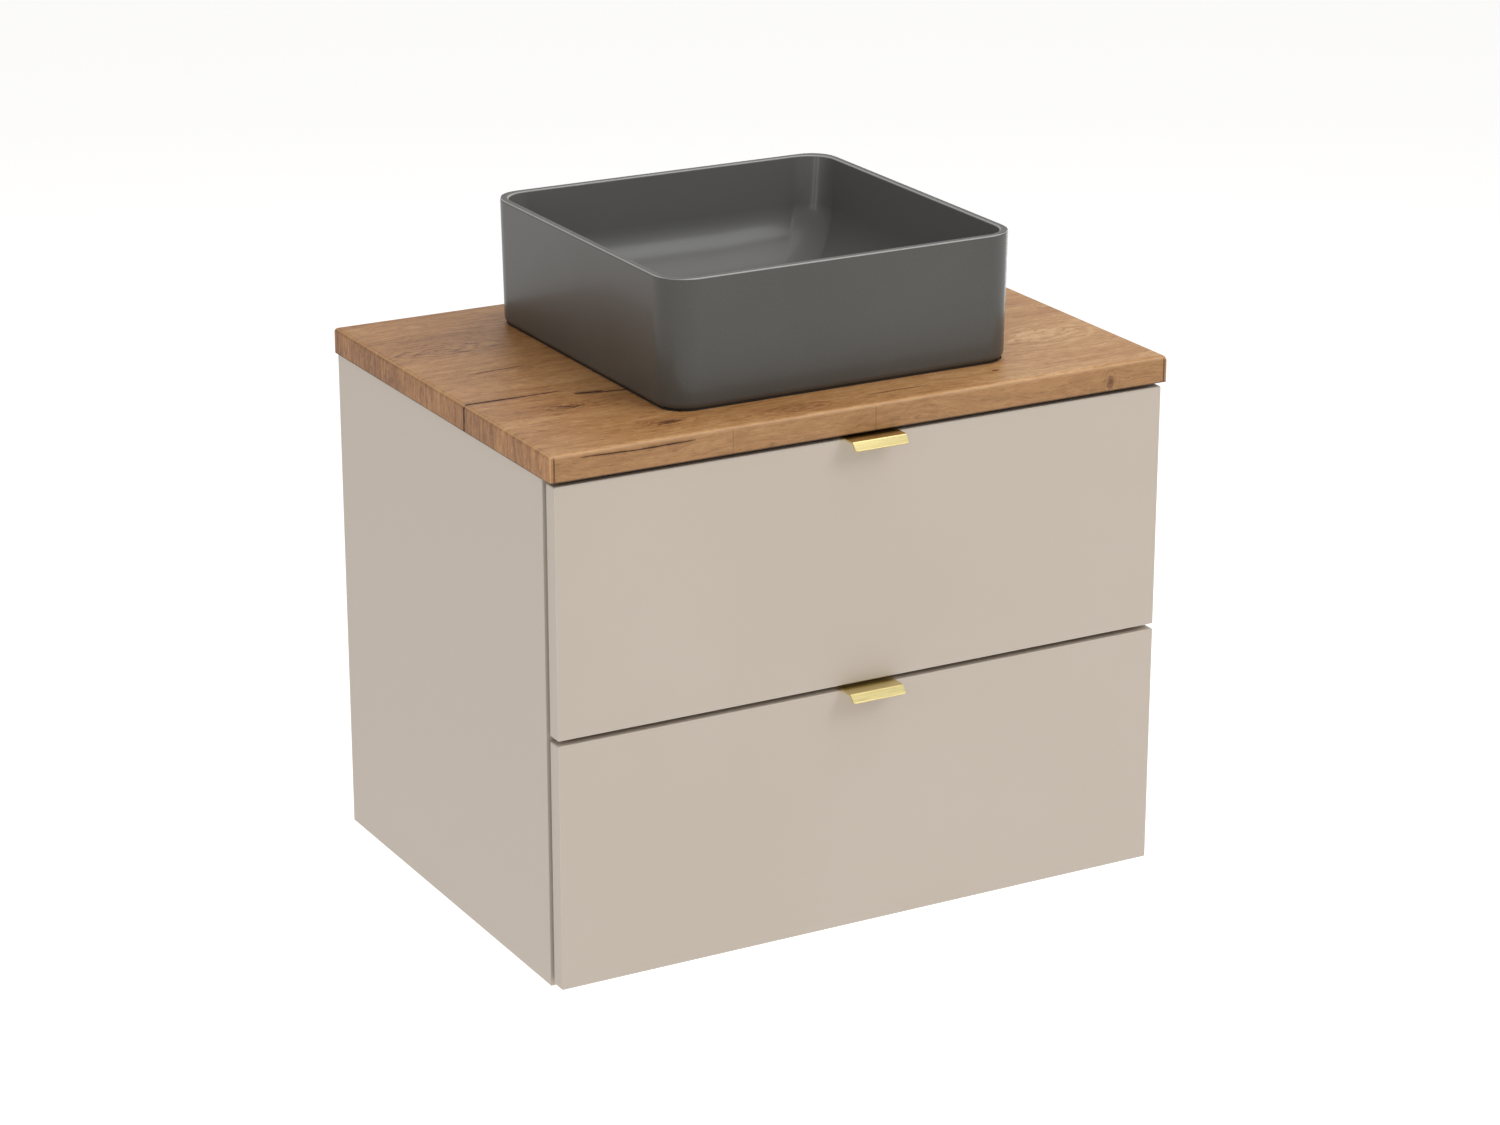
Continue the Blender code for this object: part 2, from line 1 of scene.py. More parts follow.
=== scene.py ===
"""Looks for a wall-hung vanity with a square vessel basin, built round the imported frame."""
import json
import math

import bmesh
import bpy
from mathutils import Matrix, Vector


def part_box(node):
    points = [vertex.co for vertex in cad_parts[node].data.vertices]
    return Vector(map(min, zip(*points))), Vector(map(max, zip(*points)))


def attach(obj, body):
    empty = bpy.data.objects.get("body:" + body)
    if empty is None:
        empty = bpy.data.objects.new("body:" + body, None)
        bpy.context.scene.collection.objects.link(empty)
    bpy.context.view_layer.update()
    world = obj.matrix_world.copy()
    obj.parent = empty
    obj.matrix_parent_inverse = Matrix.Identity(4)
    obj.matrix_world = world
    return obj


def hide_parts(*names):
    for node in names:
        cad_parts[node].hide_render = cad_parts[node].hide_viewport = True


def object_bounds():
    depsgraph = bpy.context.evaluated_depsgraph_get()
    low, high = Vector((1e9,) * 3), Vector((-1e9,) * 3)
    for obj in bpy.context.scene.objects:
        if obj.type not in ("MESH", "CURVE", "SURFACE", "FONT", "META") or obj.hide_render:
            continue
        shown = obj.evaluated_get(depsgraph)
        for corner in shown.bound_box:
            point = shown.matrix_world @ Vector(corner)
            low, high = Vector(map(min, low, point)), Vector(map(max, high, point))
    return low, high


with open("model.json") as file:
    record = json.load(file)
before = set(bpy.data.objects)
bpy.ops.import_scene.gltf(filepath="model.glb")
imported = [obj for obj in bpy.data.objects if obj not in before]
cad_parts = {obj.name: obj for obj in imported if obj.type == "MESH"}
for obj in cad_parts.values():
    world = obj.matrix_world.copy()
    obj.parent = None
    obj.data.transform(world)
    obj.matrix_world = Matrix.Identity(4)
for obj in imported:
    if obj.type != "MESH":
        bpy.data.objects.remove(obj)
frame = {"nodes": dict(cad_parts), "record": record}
CAD_BOX = [list(corner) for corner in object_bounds()]
SIDES = {"left": -1, "right": 1}
DRAWERS = ("upper", "lower")


# ---------------------------------------------------------------- camera, light and room

CAMERA_PLACE = Vector((-1.679, -3.266, 1.062))
CAMERA_TURN = 28.92
CAMERA_TILT = 19.20
CAMERA_LENS = 97.4
SENSOR_WIDTH = 36.0


def make_camera():
    data = bpy.data.cameras.new("camera")
    data.sensor_width = SENSOR_WIDTH
    data.lens = CAMERA_LENS
    camera = bpy.data.objects.new("camera", data)
    camera.location = CAMERA_PLACE
    camera.rotation_euler = (math.radians(90 - CAMERA_TILT), 0.0, math.radians(-CAMERA_TURN))
    bpy.context.scene.collection.objects.link(camera)
    bpy.context.scene.camera = camera


# Soft lights: name, place, width and height, power and colour
LIGHTS = [
    ("key", (1.3, -2.6, 2.0), (1.5, 1.2), 25.5, (0.985, 0.99, 1.0)),
    ("overhead", (0.6, -0.7, 2.5), (2.4, 1.8), 17.5, (1.0, 0.99, 0.975)),
    ("back_soft", (1.4, 2.3, 1.9), (1.8, 0.9), 12.0, (1.0, 0.99, 0.98)),
    ("left_strip", (-2.9, -1.45, 0.95), (0.06, 0.9), 4.8, (1.0, 0.965, 0.91)),
    ("second_strip", (-2.55, -2.15, 0.95), (0.06, 0.9), 4.0, (1.0, 0.965, 0.91)),
    ("right_strip", (2.4, 1.1, 0.3), (0.20, 2.0), 7.0, (1.0, 1.0, 1.0)),
]
LIT_PLACE = Vector((0.0, -0.2, 0.0))
FILL_COLOUR = (1.0, 0.985, 0.96, 1.0)
FILL_STRENGTH = 0.56
BACKDROP_COLOUR = (1.0, 1.0, 1.0, 1.0)
BACKDROP_EXTRA = 0.40


def make_area_light(name, place, size, power, light_colour):
    data = bpy.data.lights.new(name, "AREA")
    data.shape = "RECTANGLE"
    data.size, data.size_y = size
    data.energy = power
    data.color = light_colour
    light = bpy.data.objects.new(name, data)
    light.location = place
    light.rotation_euler = (LIT_PLACE - Vector(place)).to_track_quat("-Z", "Y").to_euler()
    bpy.context.scene.collection.objects.link(light)


def make_room():
    """Warm fill from all round, which shows as a plain white backdrop, and the soft lights."""
    world = bpy.data.worlds.new("studio")
    world.use_nodes = True
    background = world.node_tree.nodes["Background"]
    graph = Graph(world.node_tree)
    seen = graph.add("ShaderNodeLightPath").outputs["Is Camera Ray"]
    graph.feed(background.inputs["Color"], graph.blend(seen, FILL_COLOUR, BACKDROP_COLOUR))
    graph.feed(background.inputs["Strength"],
               graph.math("MULTIPLY_ADD", seen, BACKDROP_EXTRA, FILL_STRENGTH))
    bpy.context.scene.world = world
    for light in LIGHTS:
        make_area_light(*light)
    bpy.context.scene.view_settings.view_transform = "Standard"


# The floor lies under the hung unit and glows a little, so that it stays pale out to its edge
FLOOR_DROP = 0.40
FLOOR_HALF = 14.0
FLOOR_GLOW = 0.43


def make_floor():
    bm = bmesh.new()
    bmesh.ops.create_grid(bm, x_segments=8, y_segments=8, size=FLOOR_HALF)
    floor = object_of("floor", bm)
    floor.location = (0.0, 0.0, CAD_BOX[0][2] - FLOOR_DROP)
    material, _, _ = new_material("pale_floor", Base_Color=(0.925, 0.935, 0.95, 1.0), Roughness=0.9,
                                  Specular_IOR_Level=0.2, Emission_Color=(1.0, 0.995, 0.985, 1.0),
                                  Emission_Strength=FLOOR_GLOW)
    floor.data.materials.append(material)


# ---------------------------------------------------------------- shader building


def colour(red, green, blue):
    """Scene colour of an eight-bit display colour."""
    def channel(value):
        value = value / 255.0
        if value <= 0.04045:
            return value / 12.92
        return ((value + 0.055) / 1.055) ** 2.4
    return channel(red), channel(green), channel(blue), 1.0


class Graph:
    """Adds nodes to one tree and joins them."""

    def __init__(self, tree):
        self.tree = tree

    def add(self, kind, inputs=None, **settings):
        node = self.tree.nodes.new(kind)
        for key, value in settings.items():
            setattr(node, key, value)
        for key, value in (inputs or {}).items():
            self.feed(node.inputs[key], value)
        return node

    def feed(self, socket, value):
        if isinstance(value, bpy.types.NodeSocket):
            self.tree.links.new(value, socket)
        else:
            socket.default_value = value

    def math(self, operation, first, second=0.0, third=0.0, clamp=False):
        inputs = {0: first, 1: second, 2: third}
        return self.add("ShaderNodeMath", inputs, operation=operation, use_clamp=clamp).outputs[0]

    def weighted(self, start, marks):
        """Start with each mark added to it at its own weight."""
        whole = start
        for mark, weight in marks:
            whole = self.math("MULTIPLY_ADD", mark, weight, whole)
        return whole

    def worst_of(self, marks):
        whole = marks[0]
        for mark in marks[1:]:
            whole = self.math("MAXIMUM", whole, mark)
        return whole

    def object_place(self):
        return self.add("ShaderNodeTexCoord").outputs["Object"]

    def facing(self):
        return self.add("ShaderNodeNewGeometry").outputs["Normal"]

    def parts(self, vector):
        return self.add("ShaderNodeSeparateXYZ", {0: vector}).outputs

    def pair(self, first, second):
        return self.add("ShaderNodeCombineXYZ", {0: first, 1: second}).outputs[0]

    def stretch(self, vector, factors):
        return self.add("ShaderNodeVectorMath", {0: vector, 1: factors}, operation="MULTIPLY").outputs[0]

    def noise(self, vector, scale, detail=2.0, roughness=0.5, distortion=0.0):
        inputs = {"Vector": vector, "Scale": scale, "Detail": detail, "Roughness": roughness,
                  "Distortion": distortion}
        return self.add("ShaderNodeTexNoise", inputs).outputs["Fac"]

    def drawn_noise(self, vector, factors, detail, roughness=0.5, distortion=0.0):
        """Noise drawn out by its own factor along each axis."""
        return self.noise(self.stretch(vector, factors), 1.0, detail, roughness, distortion)

    def span(self, value, low, high, to_low=0.0, to_high=1.0, smooth=False):
        """Value between low and high carried over to another range, and held there."""
        inputs = {"Value": value, "From Min": low, "From Max": high, "To Min": to_low, "To Max": to_high}
        kind = "SMOOTHSTEP" if smooth else "LINEAR"
        return self.add("ShaderNodeMapRange", inputs, interpolation_type=kind).outputs["Result"]

    def blend(self, amount, first, second):
        node = self.add("ShaderNodeMix", data_type="RGBA")
        self.feed(node.inputs[0], amount)
        self.feed(node.inputs[6], first)
        self.feed(node.inputs[7], second)
        return node.outputs[2]

    def tint(self, mask, amount, under, over):
        """One colour laid over another where a mask says, at most by an amount."""
        return self.blend(self.math("MULTIPLY", mask, amount), under, over)

    def ramp(self, value, stops):
        """Colour read off a row of (position, colour) stops."""
        node = self.add("ShaderNodeValToRGB", {"Fac": value})
        elements = node.color_ramp.elements
        elements[0].position, elements[0].color = stops[0]
        elements[1].position, elements[1].color = stops[-1]
        for position, stop_colour in stops[1:-1]:
            elements.new(position).color = stop_colour
        return node.outputs["Color"]

    def bump(self, height, strength, distance, normal=None):
        inputs = {"Height": height, "Strength": strength, "Distance": distance}
        if normal is not None:
            inputs["Normal"] = normal
        return self.add("ShaderNodeBump", inputs).outputs["Normal"]

    def place(self, group, inputs=None):
        """One use of a shared effect, with its own values."""
        node = self.tree.nodes.new("ShaderNodeGroup")
        node.node_tree = group
        for key, value in (inputs or {}).items():
            self.feed(node.inputs[key], value)
        return node.outputs


FLOAT = "NodeSocketFloat"
VECTOR = "NodeSocketVector"


def new_effect(name, inputs, outputs):
    """Empty shader group with its named sockets, and the two ends of its graph."""
    group = bpy.data.node_groups.new(name, "ShaderNodeTree")
    for label, (kind, value) in inputs.items():
        socket = group.interface.new_socket(name=label, in_out="INPUT", socket_type=kind)
        socket.default_value = value
    for label in outputs:
        group.interface.new_socket(name=label, in_out="OUTPUT", socket_type=FLOAT)
    graph = Graph(group)
    start = group.nodes.new("NodeGroupInput").outputs
    end = group.nodes.new("NodeGroupOutput").inputs
    return group, graph, start, end


def edge_effect():
    """Mask of the eased edges, where a finish is thinner or rubbed and where a painted highlight is laid."""
    group, graph, start, end = new_effect(
        "edge_wear_and_highlight", {"Radius": (FLOAT, 0.0015), "Uneven": (FLOAT, 60.0)}, ["Edge"])
    round_normal = graph.add("ShaderNodeBevel", {"Radius": start["Radius"]}, samples=6).outputs["Normal"]
    normal = graph.facing()
    facing = graph.add("ShaderNodeVectorMath", {0: round_normal, 1: normal}, operation="DOT_PRODUCT")
    turned_away = graph.math("SUBTRACT", 1.0, facing.outputs["Value"])
    edge = graph.span(turned_away, 0.01, 0.14)
    place = graph.object_place()
    patchy = graph.span(graph.noise(place, start["Uneven"], 3.0), 0.3, 0.7, 0.45, 1.0)
    graph.feed(end["Edge"], graph.math("MULTIPLY", edge, patchy))
    return group


def eased_edge_effect():
    """Mask of a board's rounded edges, read off faces that point between the board's own sides, where a
    painted highlight is laid.
    """
    group, graph, start, end = new_effect("eased_edge", {"Uneven": (FLOAT, 30.0)}, ["Eased"])
    normal = graph.facing()
    x, y, z = graph.parts(normal)
    squarest = graph.math("MAXIMUM", graph.math("ABSOLUTE", x), graph.math("ABSOLUTE", y))
    squarest = graph.math("MAXIMUM", squarest, graph.math("ABSOLUTE", z))
    half_way = graph.span(squarest, 0.72, 0.97, 1.0, 0.0)
    place = graph.object_place()
    patchy = graph.span(graph.noise(place, start["Uneven"], 3.0), 0.3, 0.7, 0.6, 1.0)
    graph.feed(end["Eased"], graph.math("MULTIPLY", half_way, patchy))
    return group


def mottle_effect():
    """Soft clouding and fine tooth that every moulded, painted or glazed face has."""
    group, graph, start, end = new_effect(
        "mottle", {"Cloud Scale": (FLOAT, 8.0), "Tooth Scale": (FLOAT, 900.0)}, ["Cloud", "Tooth"])
    place = graph.object_place()
    graph.feed(end["Cloud"], graph.span(graph.noise(place, start["Cloud Scale"], 4.0, 0.55), 0.3, 0.7))
    graph.feed(end["Tooth"], graph.noise(place, start["Tooth Scale"], 2.0, 0.6))
    return group


def brushing_effect():
    """Fine parallel scratches; Stretch is small along the direction of the brushing."""
    group, graph, start, end = new_effect(
        "brushing", {"Stretch": (VECTOR, (20.0, 900.0, 900.0))}, ["Lines", "Broad"])
    place = graph.object_place()
    drawn = graph.stretch(place, start["Stretch"])
    graph.feed(end["Lines"], graph.noise(drawn, 1.0, 3.0, 0.65))
    graph.feed(end["Broad"], graph.noise(drawn, 0.13, 2.0, 0.5))
    return group


def crack_effect():
    """Dark split in wood that runs along the grain, thin at both of its ends."""
    group, graph, start, end = new_effect("wood_split", {
        "Along": (FLOAT, 0.0), "Across": (FLOAT, 0.0), "From": (FLOAT, 0.0), "To": (FLOAT, 0.1),
        "Line": (FLOAT, 0.0), "Slope": (FLOAT, 0.0), "Width": (FLOAT, 0.0008), "Wander": (FLOAT, 0.003),
    }, ["Split", "Stain"])
    length = graph.math("SUBTRACT", start["To"], start["From"])
    travelled = graph.math("SUBTRACT", start["Along"], start["From"])
    part = graph.math("DIVIDE", travelled, length, clamp=True)
    belly = graph.math("MULTIPLY", part, graph.math("SUBTRACT", 1.0, part))
    belly = graph.math("POWER", graph.math("MULTIPLY", belly, 4.0), 0.45)
    seed = graph.pair(start["Along"], start["Line"])
    waver = graph.math("SUBTRACT", graph.noise(seed, 45.0, 3.0, 0.6), 0.5)
    middle = graph.math("MULTIPLY_ADD", travelled, start["Slope"], start["Line"])
    middle = graph.math("MULTIPLY_ADD", waver, start["Wander"], middle)
    away = graph.math("ABSOLUTE", graph.math("SUBTRACT", start["Across"], middle))
    thick = graph.math("MULTIPLY", belly, start["Width"])
    ragged = graph.span(graph.noise(seed, 170.0, 2.0), 0.3, 0.6, 0.55, 1.0)
    thick = graph.math("MULTIPLY", thick, ragged)
    inside = graph.math("SUBTRACT", 1.0, graph.math("DIVIDE", away, graph.math("ADD", thick, 0.00001)))
    graph.feed(end["Split"], graph.span(inside, 0.0, 0.55, smooth=True))
    graph.feed(end["Stain"], graph.span(inside, -2.6, 0.2, smooth=True))
    return group


def knot_effect():
    """Knot that pushes the grain aside: how far it bends it, its dark heart and its rings."""
    group, graph, start, end = new_effect("wood_knot", {
        "Along": (FLOAT, 0.0), "Across": (FLOAT, 0.0), "At Along": (FLOAT, 0.0), "At Across": (FLOAT, 0.0),
        "Size": (FLOAT, 0.01), "Length": (FLOAT, 2.0),
    }, ["Bend", "Heart", "Rings"])
    long_way = graph.math("DIVIDE", graph.math("SUBTRACT", start["Along"], start["At Along"]),
                          graph.math("MULTIPLY", start["Size"], start["Length"]))
    short_way = graph.math("DIVIDE", graph.math("SUBTRACT", start["Across"], start["At Across"]),
                           start["Size"])
    seed = graph.pair(long_way, short_way)
    rough = graph.math("MULTIPLY", graph.math("SUBTRACT", graph.noise(seed, 1.6, 3.0, 0.6), 0.5), 0.9)
    far = graph.math("ADD", graph.math("MULTIPLY", long_way, long_way),
                     graph.math("MULTIPLY", short_way, short_way))
    reach = graph.math("POWER", 2.718, graph.math("MULTIPLY", far, -0.35))
    push = graph.math("MULTIPLY", graph.math("MULTIPLY", short_way, reach), start["Size"])
    graph.feed(end["Bend"], graph.math("MULTIPLY", push, 0.75))
    distance = graph.math("ADD", graph.math("SQRT", far), rough)
    graph.feed(end["Heart"], graph.span(distance, 0.15, 0.75, 1.0, 0.0, smooth=True))
    wave = graph.math("SINE", graph.math("MULTIPLY", distance, 15.0))
    fade = graph.span(distance, 0.4, 1.9, 1.0, 0.0)
    graph.feed(end["Rings"], graph.math("MULTIPLY", graph.span(wave, 0.1, 1.0), fade))
    return group


EDGE = edge_effect()
EASED = eased_edge_effect()
MOTTLE = mottle_effect()
BRUSHING = brushing_effect()
CRACK = crack_effect()
KNOT = knot_effect()


def new_material(name, **values):
    """Material with a Principled shader whose plain values are set on its own sockets."""
    material = bpy.data.materials.new(name)
    material.use_nodes = True
    shader = material.node_tree.nodes["Principled BSDF"]
    for key, value in values.items():
        shader.inputs[key.replace("_", " ")].default_value = value
    return material, Graph(material.node_tree), shader.inputs


def finish_coat(name, base, clouded, wear_and_highlight, rough, cloud, tooth, relief, edge_radius=0.0015,
                edge_share=0.5, board=False):
    """Painted or moulded finish: clouding, fine tooth and a lighter edge, partly wear and partly painted
    highlight.
    """
    material, graph, shader = new_material(name)
    marks = graph.place(MOTTLE, {"Cloud Scale": cloud, "Tooth Scale": tooth})
    if board:
        edge = graph.place(EASED, {"Uneven": 12.0})["Eased"]
    else:
        edge = graph.place(EDGE, {"Radius": edge_radius})["Edge"]
    body = graph.blend(marks["Cloud"], base, clouded)
    # Lighter edges: partly wear, partly painted highlight.
    graph.feed(shader["Base Color"], graph.tint(edge, edge_share, body, wear_and_highlight))
    clouds = graph.span(marks["Cloud"], 0.0, 1.0, *rough)
    graph.feed(shader["Roughness"], graph.math("MULTIPLY_ADD", edge, -0.05, clouds))
    graph.feed(shader["Normal"], graph.bump(marks["Tooth"], relief, 0.0002))
    return material


def taupe_lacquer():
    return finish_coat("taupe_lacquer", colour(187, 175, 162), colour(190, 178, 166), colour(216, 207, 196),
                       (0.40, 0.47), 5.0, 1300.0, 0.06, edge_share=0.62, board=True)


def drawer_board():
    return finish_coat("drawer_board", colour(168, 164, 158), colour(176, 172, 166), colour(196, 192, 186),
                       (0.46, 0.56), 30.0, 2200.0, 0.14, edge_share=0.4, board=True)


def moulded_plastic():
    return finish_coat("moulded_plastic", colour(222, 222, 217), colour(229, 229, 226), colour(240, 240, 238),
                       (0.36, 0.46), 25.0, 1800.0, 0.08, 0.0008, 0.4)


def black_rubber():
    return finish_coat("black_rubber", colour(30, 30, 31), colour(38, 38, 39), colour(60, 60, 61),
                       (0.68, 0.82), 60.0, 2400.0, 0.20, 0.0006, 0.5)


# Plan corner of the basin's outside, which its glaze and its shape both follow
OUTER_CORNER = 0.030
# How far inside the outline the bowl's lighter colour starts: painted light on the same glaze
LIGHTER_INSIDE_INSET = 0.0060
LIGHTER_INSIDE_WIDTH = 0.0015
# A painted sheen lightens the bowl from its floor, fading out between these heights over the foot
FLOOR_SHEEN_LOW = 0.020
FLOOR_SHEEN_HIGH = 0.072


def basin_inside(graph, x, y, low, high):
    """Mask of what lies inside the basin's rounded square outline."""
    straight = (high.x - low.x) / 2 - OUTER_CORNER
    past = []
    for along, middle in ((x, (low.x + high.x) / 2), (y, (low.y + high.y) / 2)):
        from_middle = graph.math("ABSOLUTE", graph.math("SUBTRACT", along, middle))
        past.append(graph.math("MAXIMUM", graph.math("SUBTRACT", from_middle, straight), 0.0))
    squares = graph.math("MULTIPLY_ADD", past[0], past[0], graph.math("MULTIPLY", past[1], past[1]))
    start = OUTER_CORNER - LIGHTER_INSIDE_INSET
    return graph.span(graph.math("SQRT", squares), start, start + LIGHTER_INSIDE_WIDTH, 1.0, 0.0)


def graphite_glaze():
    """Satin stoneware glaze with fine speckle, and painted light and shade: a lighter inside, a sheen towards
    the bowl's floor, a dark rim top and a pale line on the rim's rounding.
    """
    low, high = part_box("basin")
    material, graph, shader = new_material("graphite_glaze", Coat_Roughness=0.16,
                                           Specular_IOR_Level=0.38)
    marks = graph.place(MOTTLE, {"Cloud Scale": 7.0, "Tooth Scale": 520.0})
    place = graph.object_place()
    cells = graph.add("ShaderNodeTexVoronoi", {"Vector": place, "Scale": 430.0}).outputs["Distance"]
    speck = graph.span(cells, 0.10, 0.24, 1.0, 0.0, smooth=True)
    x, y, height = graph.parts(place)
    # Painted light: the glaze within the outline, the bowl's inside, is made lighter than outside.
    inside = basin_inside(graph, x, y, low, high)
    # Painted sheen: the bowl is lighter towards its floor.
    painted_floor_sheen = graph.span(height, low.z + FLOOR_SHEEN_LOW, low.z + FLOOR_SHEEN_HIGH, 1.0, 0.0, smooth=True)
    # Painted shade: the rim's flat top is darkened; the same mask thins the coat there.
    rim = graph.span(height, high.z - 0.0012, high.z - 0.0002)
    # Painted highlight: a pale line on the rim's rounding, just under its top.
    tilt = graph.parts(graph.facing())[2]
    rounding = graph.math("MULTIPLY", graph.span(tilt, 0.40, 0.66), graph.span(tilt, 0.97, 0.84))
    rim_highlight_line = graph.math("MULTIPLY", rounding, graph.span(height, high.z - 0.0028, high.z - 0.0020))
    body = graph.blend(marks["Cloud"], colour(72, 71, 68), colour(78, 77, 74))
    # The speckle is the glaze's own; the other tints are painted light and shade.
    for mask, amount, over in (
            (inside, 0.8, colour(98, 98, 97)),
            (graph.math("MULTIPLY", painted_floor_sheen, inside), 0.8, colour(108, 108, 107)),
            (speck, 0.16, colour(120, 118, 114)),
            (rim, 0.75, colour(34, 34, 33)),
            (rim_highlight_line, 0.80, colour(188, 188, 185))):
        body = graph.tint(mask, amount, body, over)
    graph.feed(shader["Base Color"], body)
    graph.feed(shader["Coat Weight"], graph.span(rim, 0.0, 1.0, 0.20, 0.02))
    graph.feed(shader["Roughness"], graph.span(marks["Cloud"], 0.0, 1.0, 0.34, 0.42))
    wavy = graph.bump(graph.noise(place, 16.0, 2.0), 0.10, 0.002)
    graph.feed(shader["Normal"], graph.bump(marks["Tooth"], 0.07, 0.0002, wavy))
    return material


def brushed_brass():
    material, graph, shader = new_material("brushed_brass", Metallic=1.0)
    drawn = graph.place(BRUSHING, {"Stretch": (25.0, 1500.0, 1500.0)})
    edge = graph.place(EDGE, {"Radius": 0.0006, "Uneven": 90.0})["Edge"]
    body = graph.blend(drawn["Broad"], colour(221, 204, 142), colour(232, 217, 160))
    # Lighter edges: partly wear, partly painted highlight.
    body = graph.tint(edge, 0.6, body, colour(250, 234, 190))
    graph.feed(shader["Base Color"], body)
    graph.feed(shader["Roughness"], graph.span(drawn["Lines"], 0.3, 0.7, 0.15, 0.27))
    graph.feed(shader["Normal"], graph.bump(drawn["Lines"], 0.10, 0.0001))
    return material


def rolled_steel():
    """Zinc plated steel, drawn along the runners, with a faint spangle."""
    material, graph, shader = new_material("rolled_steel", Metallic=1.0)
    drawn = graph.place(BRUSHING, {"Stretch": (900.0, 18.0, 900.0)})
    place = graph.object_place()
    spangle = graph.add("ShaderNodeTexVoronoi", {"Vector": place, "Scale": 160.0}).outputs["Color"]
    grey = graph.add("ShaderNodeRGBToBW", {"Color": spangle}).outputs["Val"]
    body = graph.blend(drawn["Broad"], colour(168, 171, 176), colour(192, 194, 198))
    body = graph.tint(grey, 0.12, body, colour(214, 215, 218))
    graph.feed(shader["Base Color"], body)
    graph.feed(shader["Roughness"], graph.span(drawn["Lines"], 0.3, 0.7, 0.26, 0.42))
    graph.feed(shader["Normal"], graph.bump(drawn["Lines"], 0.12, 0.0001))
    return material


def chrome_plate():
    material, graph, shader = new_material("chrome_plate", Metallic=1.0)
    marks = graph.place(MOTTLE, {"Cloud Scale": 40.0, "Tooth Scale": 700.0})
    edge = graph.place(EDGE, {"Radius": 0.0008})["Edge"]
    body = graph.blend(marks["Cloud"], colour(214, 216, 220), colour(224, 226, 229))
    # Lighter edges: partly wear, partly painted highlight.
    graph.feed(shader["Base Color"], graph.tint(edge, 0.4, body, colour(240, 241, 243)))
    graph.feed(shader["Roughness"], graph.span(marks["Cloud"], 0.0, 1.0, 0.06, 0.14))
    graph.feed(shader["Normal"], graph.bump(marks["Tooth"], 0.015, 0.0002))
    return material


# Sealant whose near-black colour is painted shade: the contact shadow under the basin's foot.
def sealant_and_painted_shade():
    return finish_coat("sealant_and_painted_shade", colour(26, 25, 24), colour(33, 32, 30), colour(45, 44, 42),
                       (0.30, 0.42), 50.0, 900.0, 0.06, 0.0008, 0.3)


# Splits in the worktop's face: from, to, line, slope, width and wander, in metres.
# Places run on over the rounded edges, down the front and down the ends.
SPLITS = [
    (-0.340, -0.236, -0.2742, -0.024, 0.0026, 0.0022),
    (-0.262, -0.212, -0.2768, 0.010, 0.0014, 0.0030),
    (-0.206, -0.180, -0.2900, -0.150, 0.0034, 0.0060),
    (-0.190, -0.150, -0.2960, -0.120, 0.0020, 0.0030),
    (-0.276, -0.204, -0.4436, -0.030, 0.0008, 0.0012),
    (-0.232, -0.168, -0.4454, 0.010, 0.0010, 0.0012),
    (-0.262, -0.205, -0.1950, 0.050, 0.0009, 0.0050),
    (-0.240, -0.222, -0.3150, -0.500, 0.0012, 0.0060),
    (-0.226, -0.214, -0.3270, 0.500, 0.0010, 0.0050),
    (-0.190, -0.160, -0.3975, -0.100, 0.0011, 0.0070),
    (-0.186, -0.158, -0.4040, 0.120, 0.0010, 0.0070),
    (0.010, 0.072, -0.4140, 0.020, 0.0007, 0.0030),
    (0.215, 0.262, -0.1220, 0.060, 0.0008, 0.0040),
]

# Knots: place along and across the grain, size, length for width and darkness of the heart
KNOTS = [
    (-0.2280, -0.3210, 0.0090, 2.0, 0.45),
    (-0.1730, -0.4010, 0.0085, 2.2, 0.50),
    (0.1460, -0.4040, 0.0042, 1.6, 0.80),
    (0.2430, -0.4550, 0.0110, 0.6, 0.72),
    (-0.2500, -0.1150, 0.0150, 2.8, 0.15),
    (-0.0600, -0.4200, 0.0110, 3.4, 0.10),
]

# Pale curly figure, given as a knot is
PALE_FIGURE = (0.2420, -0.3310, 0.0270, 2.2)

# Wood colours from the darkest grain to the palest
WOOD_TONES = [
    (0.00, colour(106, 66, 36)),
    (0.28, colour(152, 105, 62)),
    (0.50, colour(176, 126, 78)),
    (0.72, colour(190, 143, 94)),
    (1.00, colour(213, 171, 124)),
]
STAVE_JOINTS = (-0.133, 0.005)


# Width of the end bands, seen as a dark line on the front edge, and height of the painted shade along the
# board's lowest edge, which draws the shadow of the gap under it
END_BAND = 0.0038
GAP_SHADE_HEIGHT = 0.0016


def unrolled_grain(graph, top):
    """Distances along and across the grain, carried over the edges as a wrapped sheet is.

    The masks of the ends and of the front edge come with them.
    """
    x, y, z = graph.parts(graph.object_place())
    facing_x, facing_y, _ = graph.parts(graph.facing())
    drop = graph.math("SUBTRACT", top, z)
    on_end = graph.math("ROUND", graph.math("MULTIPLY", facing_x, 0.7))
    on_front = graph.math("ROUND", graph.math("MULTIPLY", facing_y, 0.7))
    along = graph.math("MULTIPLY_ADD", drop, on_end, x)
    across = graph.math("MULTIPLY_ADD", drop, on_front, y)
    return along, across, graph.math("ABSOLUTE", on_end), graph.math("ABSOLUTE", on_front)


def lay_knot(graph, along, across, knot):
    at_along, at_across, size, length = knot
    return graph.place(KNOT, {"Along": along, "Across": across, "At Along": at_along,
                              "At Across": at_across, "Size": size, "Length": length})


def lay_splits(graph, along, across):
    """Masks of the splits and of the stained wood beside them."""
    splits = []
    stains = []
    for start, stop, line, slope, width, wander in SPLITS:
        split = graph.place(CRACK, {"Along": along, "Across": across, "From": start, "To": stop,
                                    "Line": line, "Slope": slope, "Width": width, "Wander": wander})
        splits.append(split["Split"])
        stains.append(split["Stain"])
    return graph.worst_of(splits), graph.worst_of(stains)


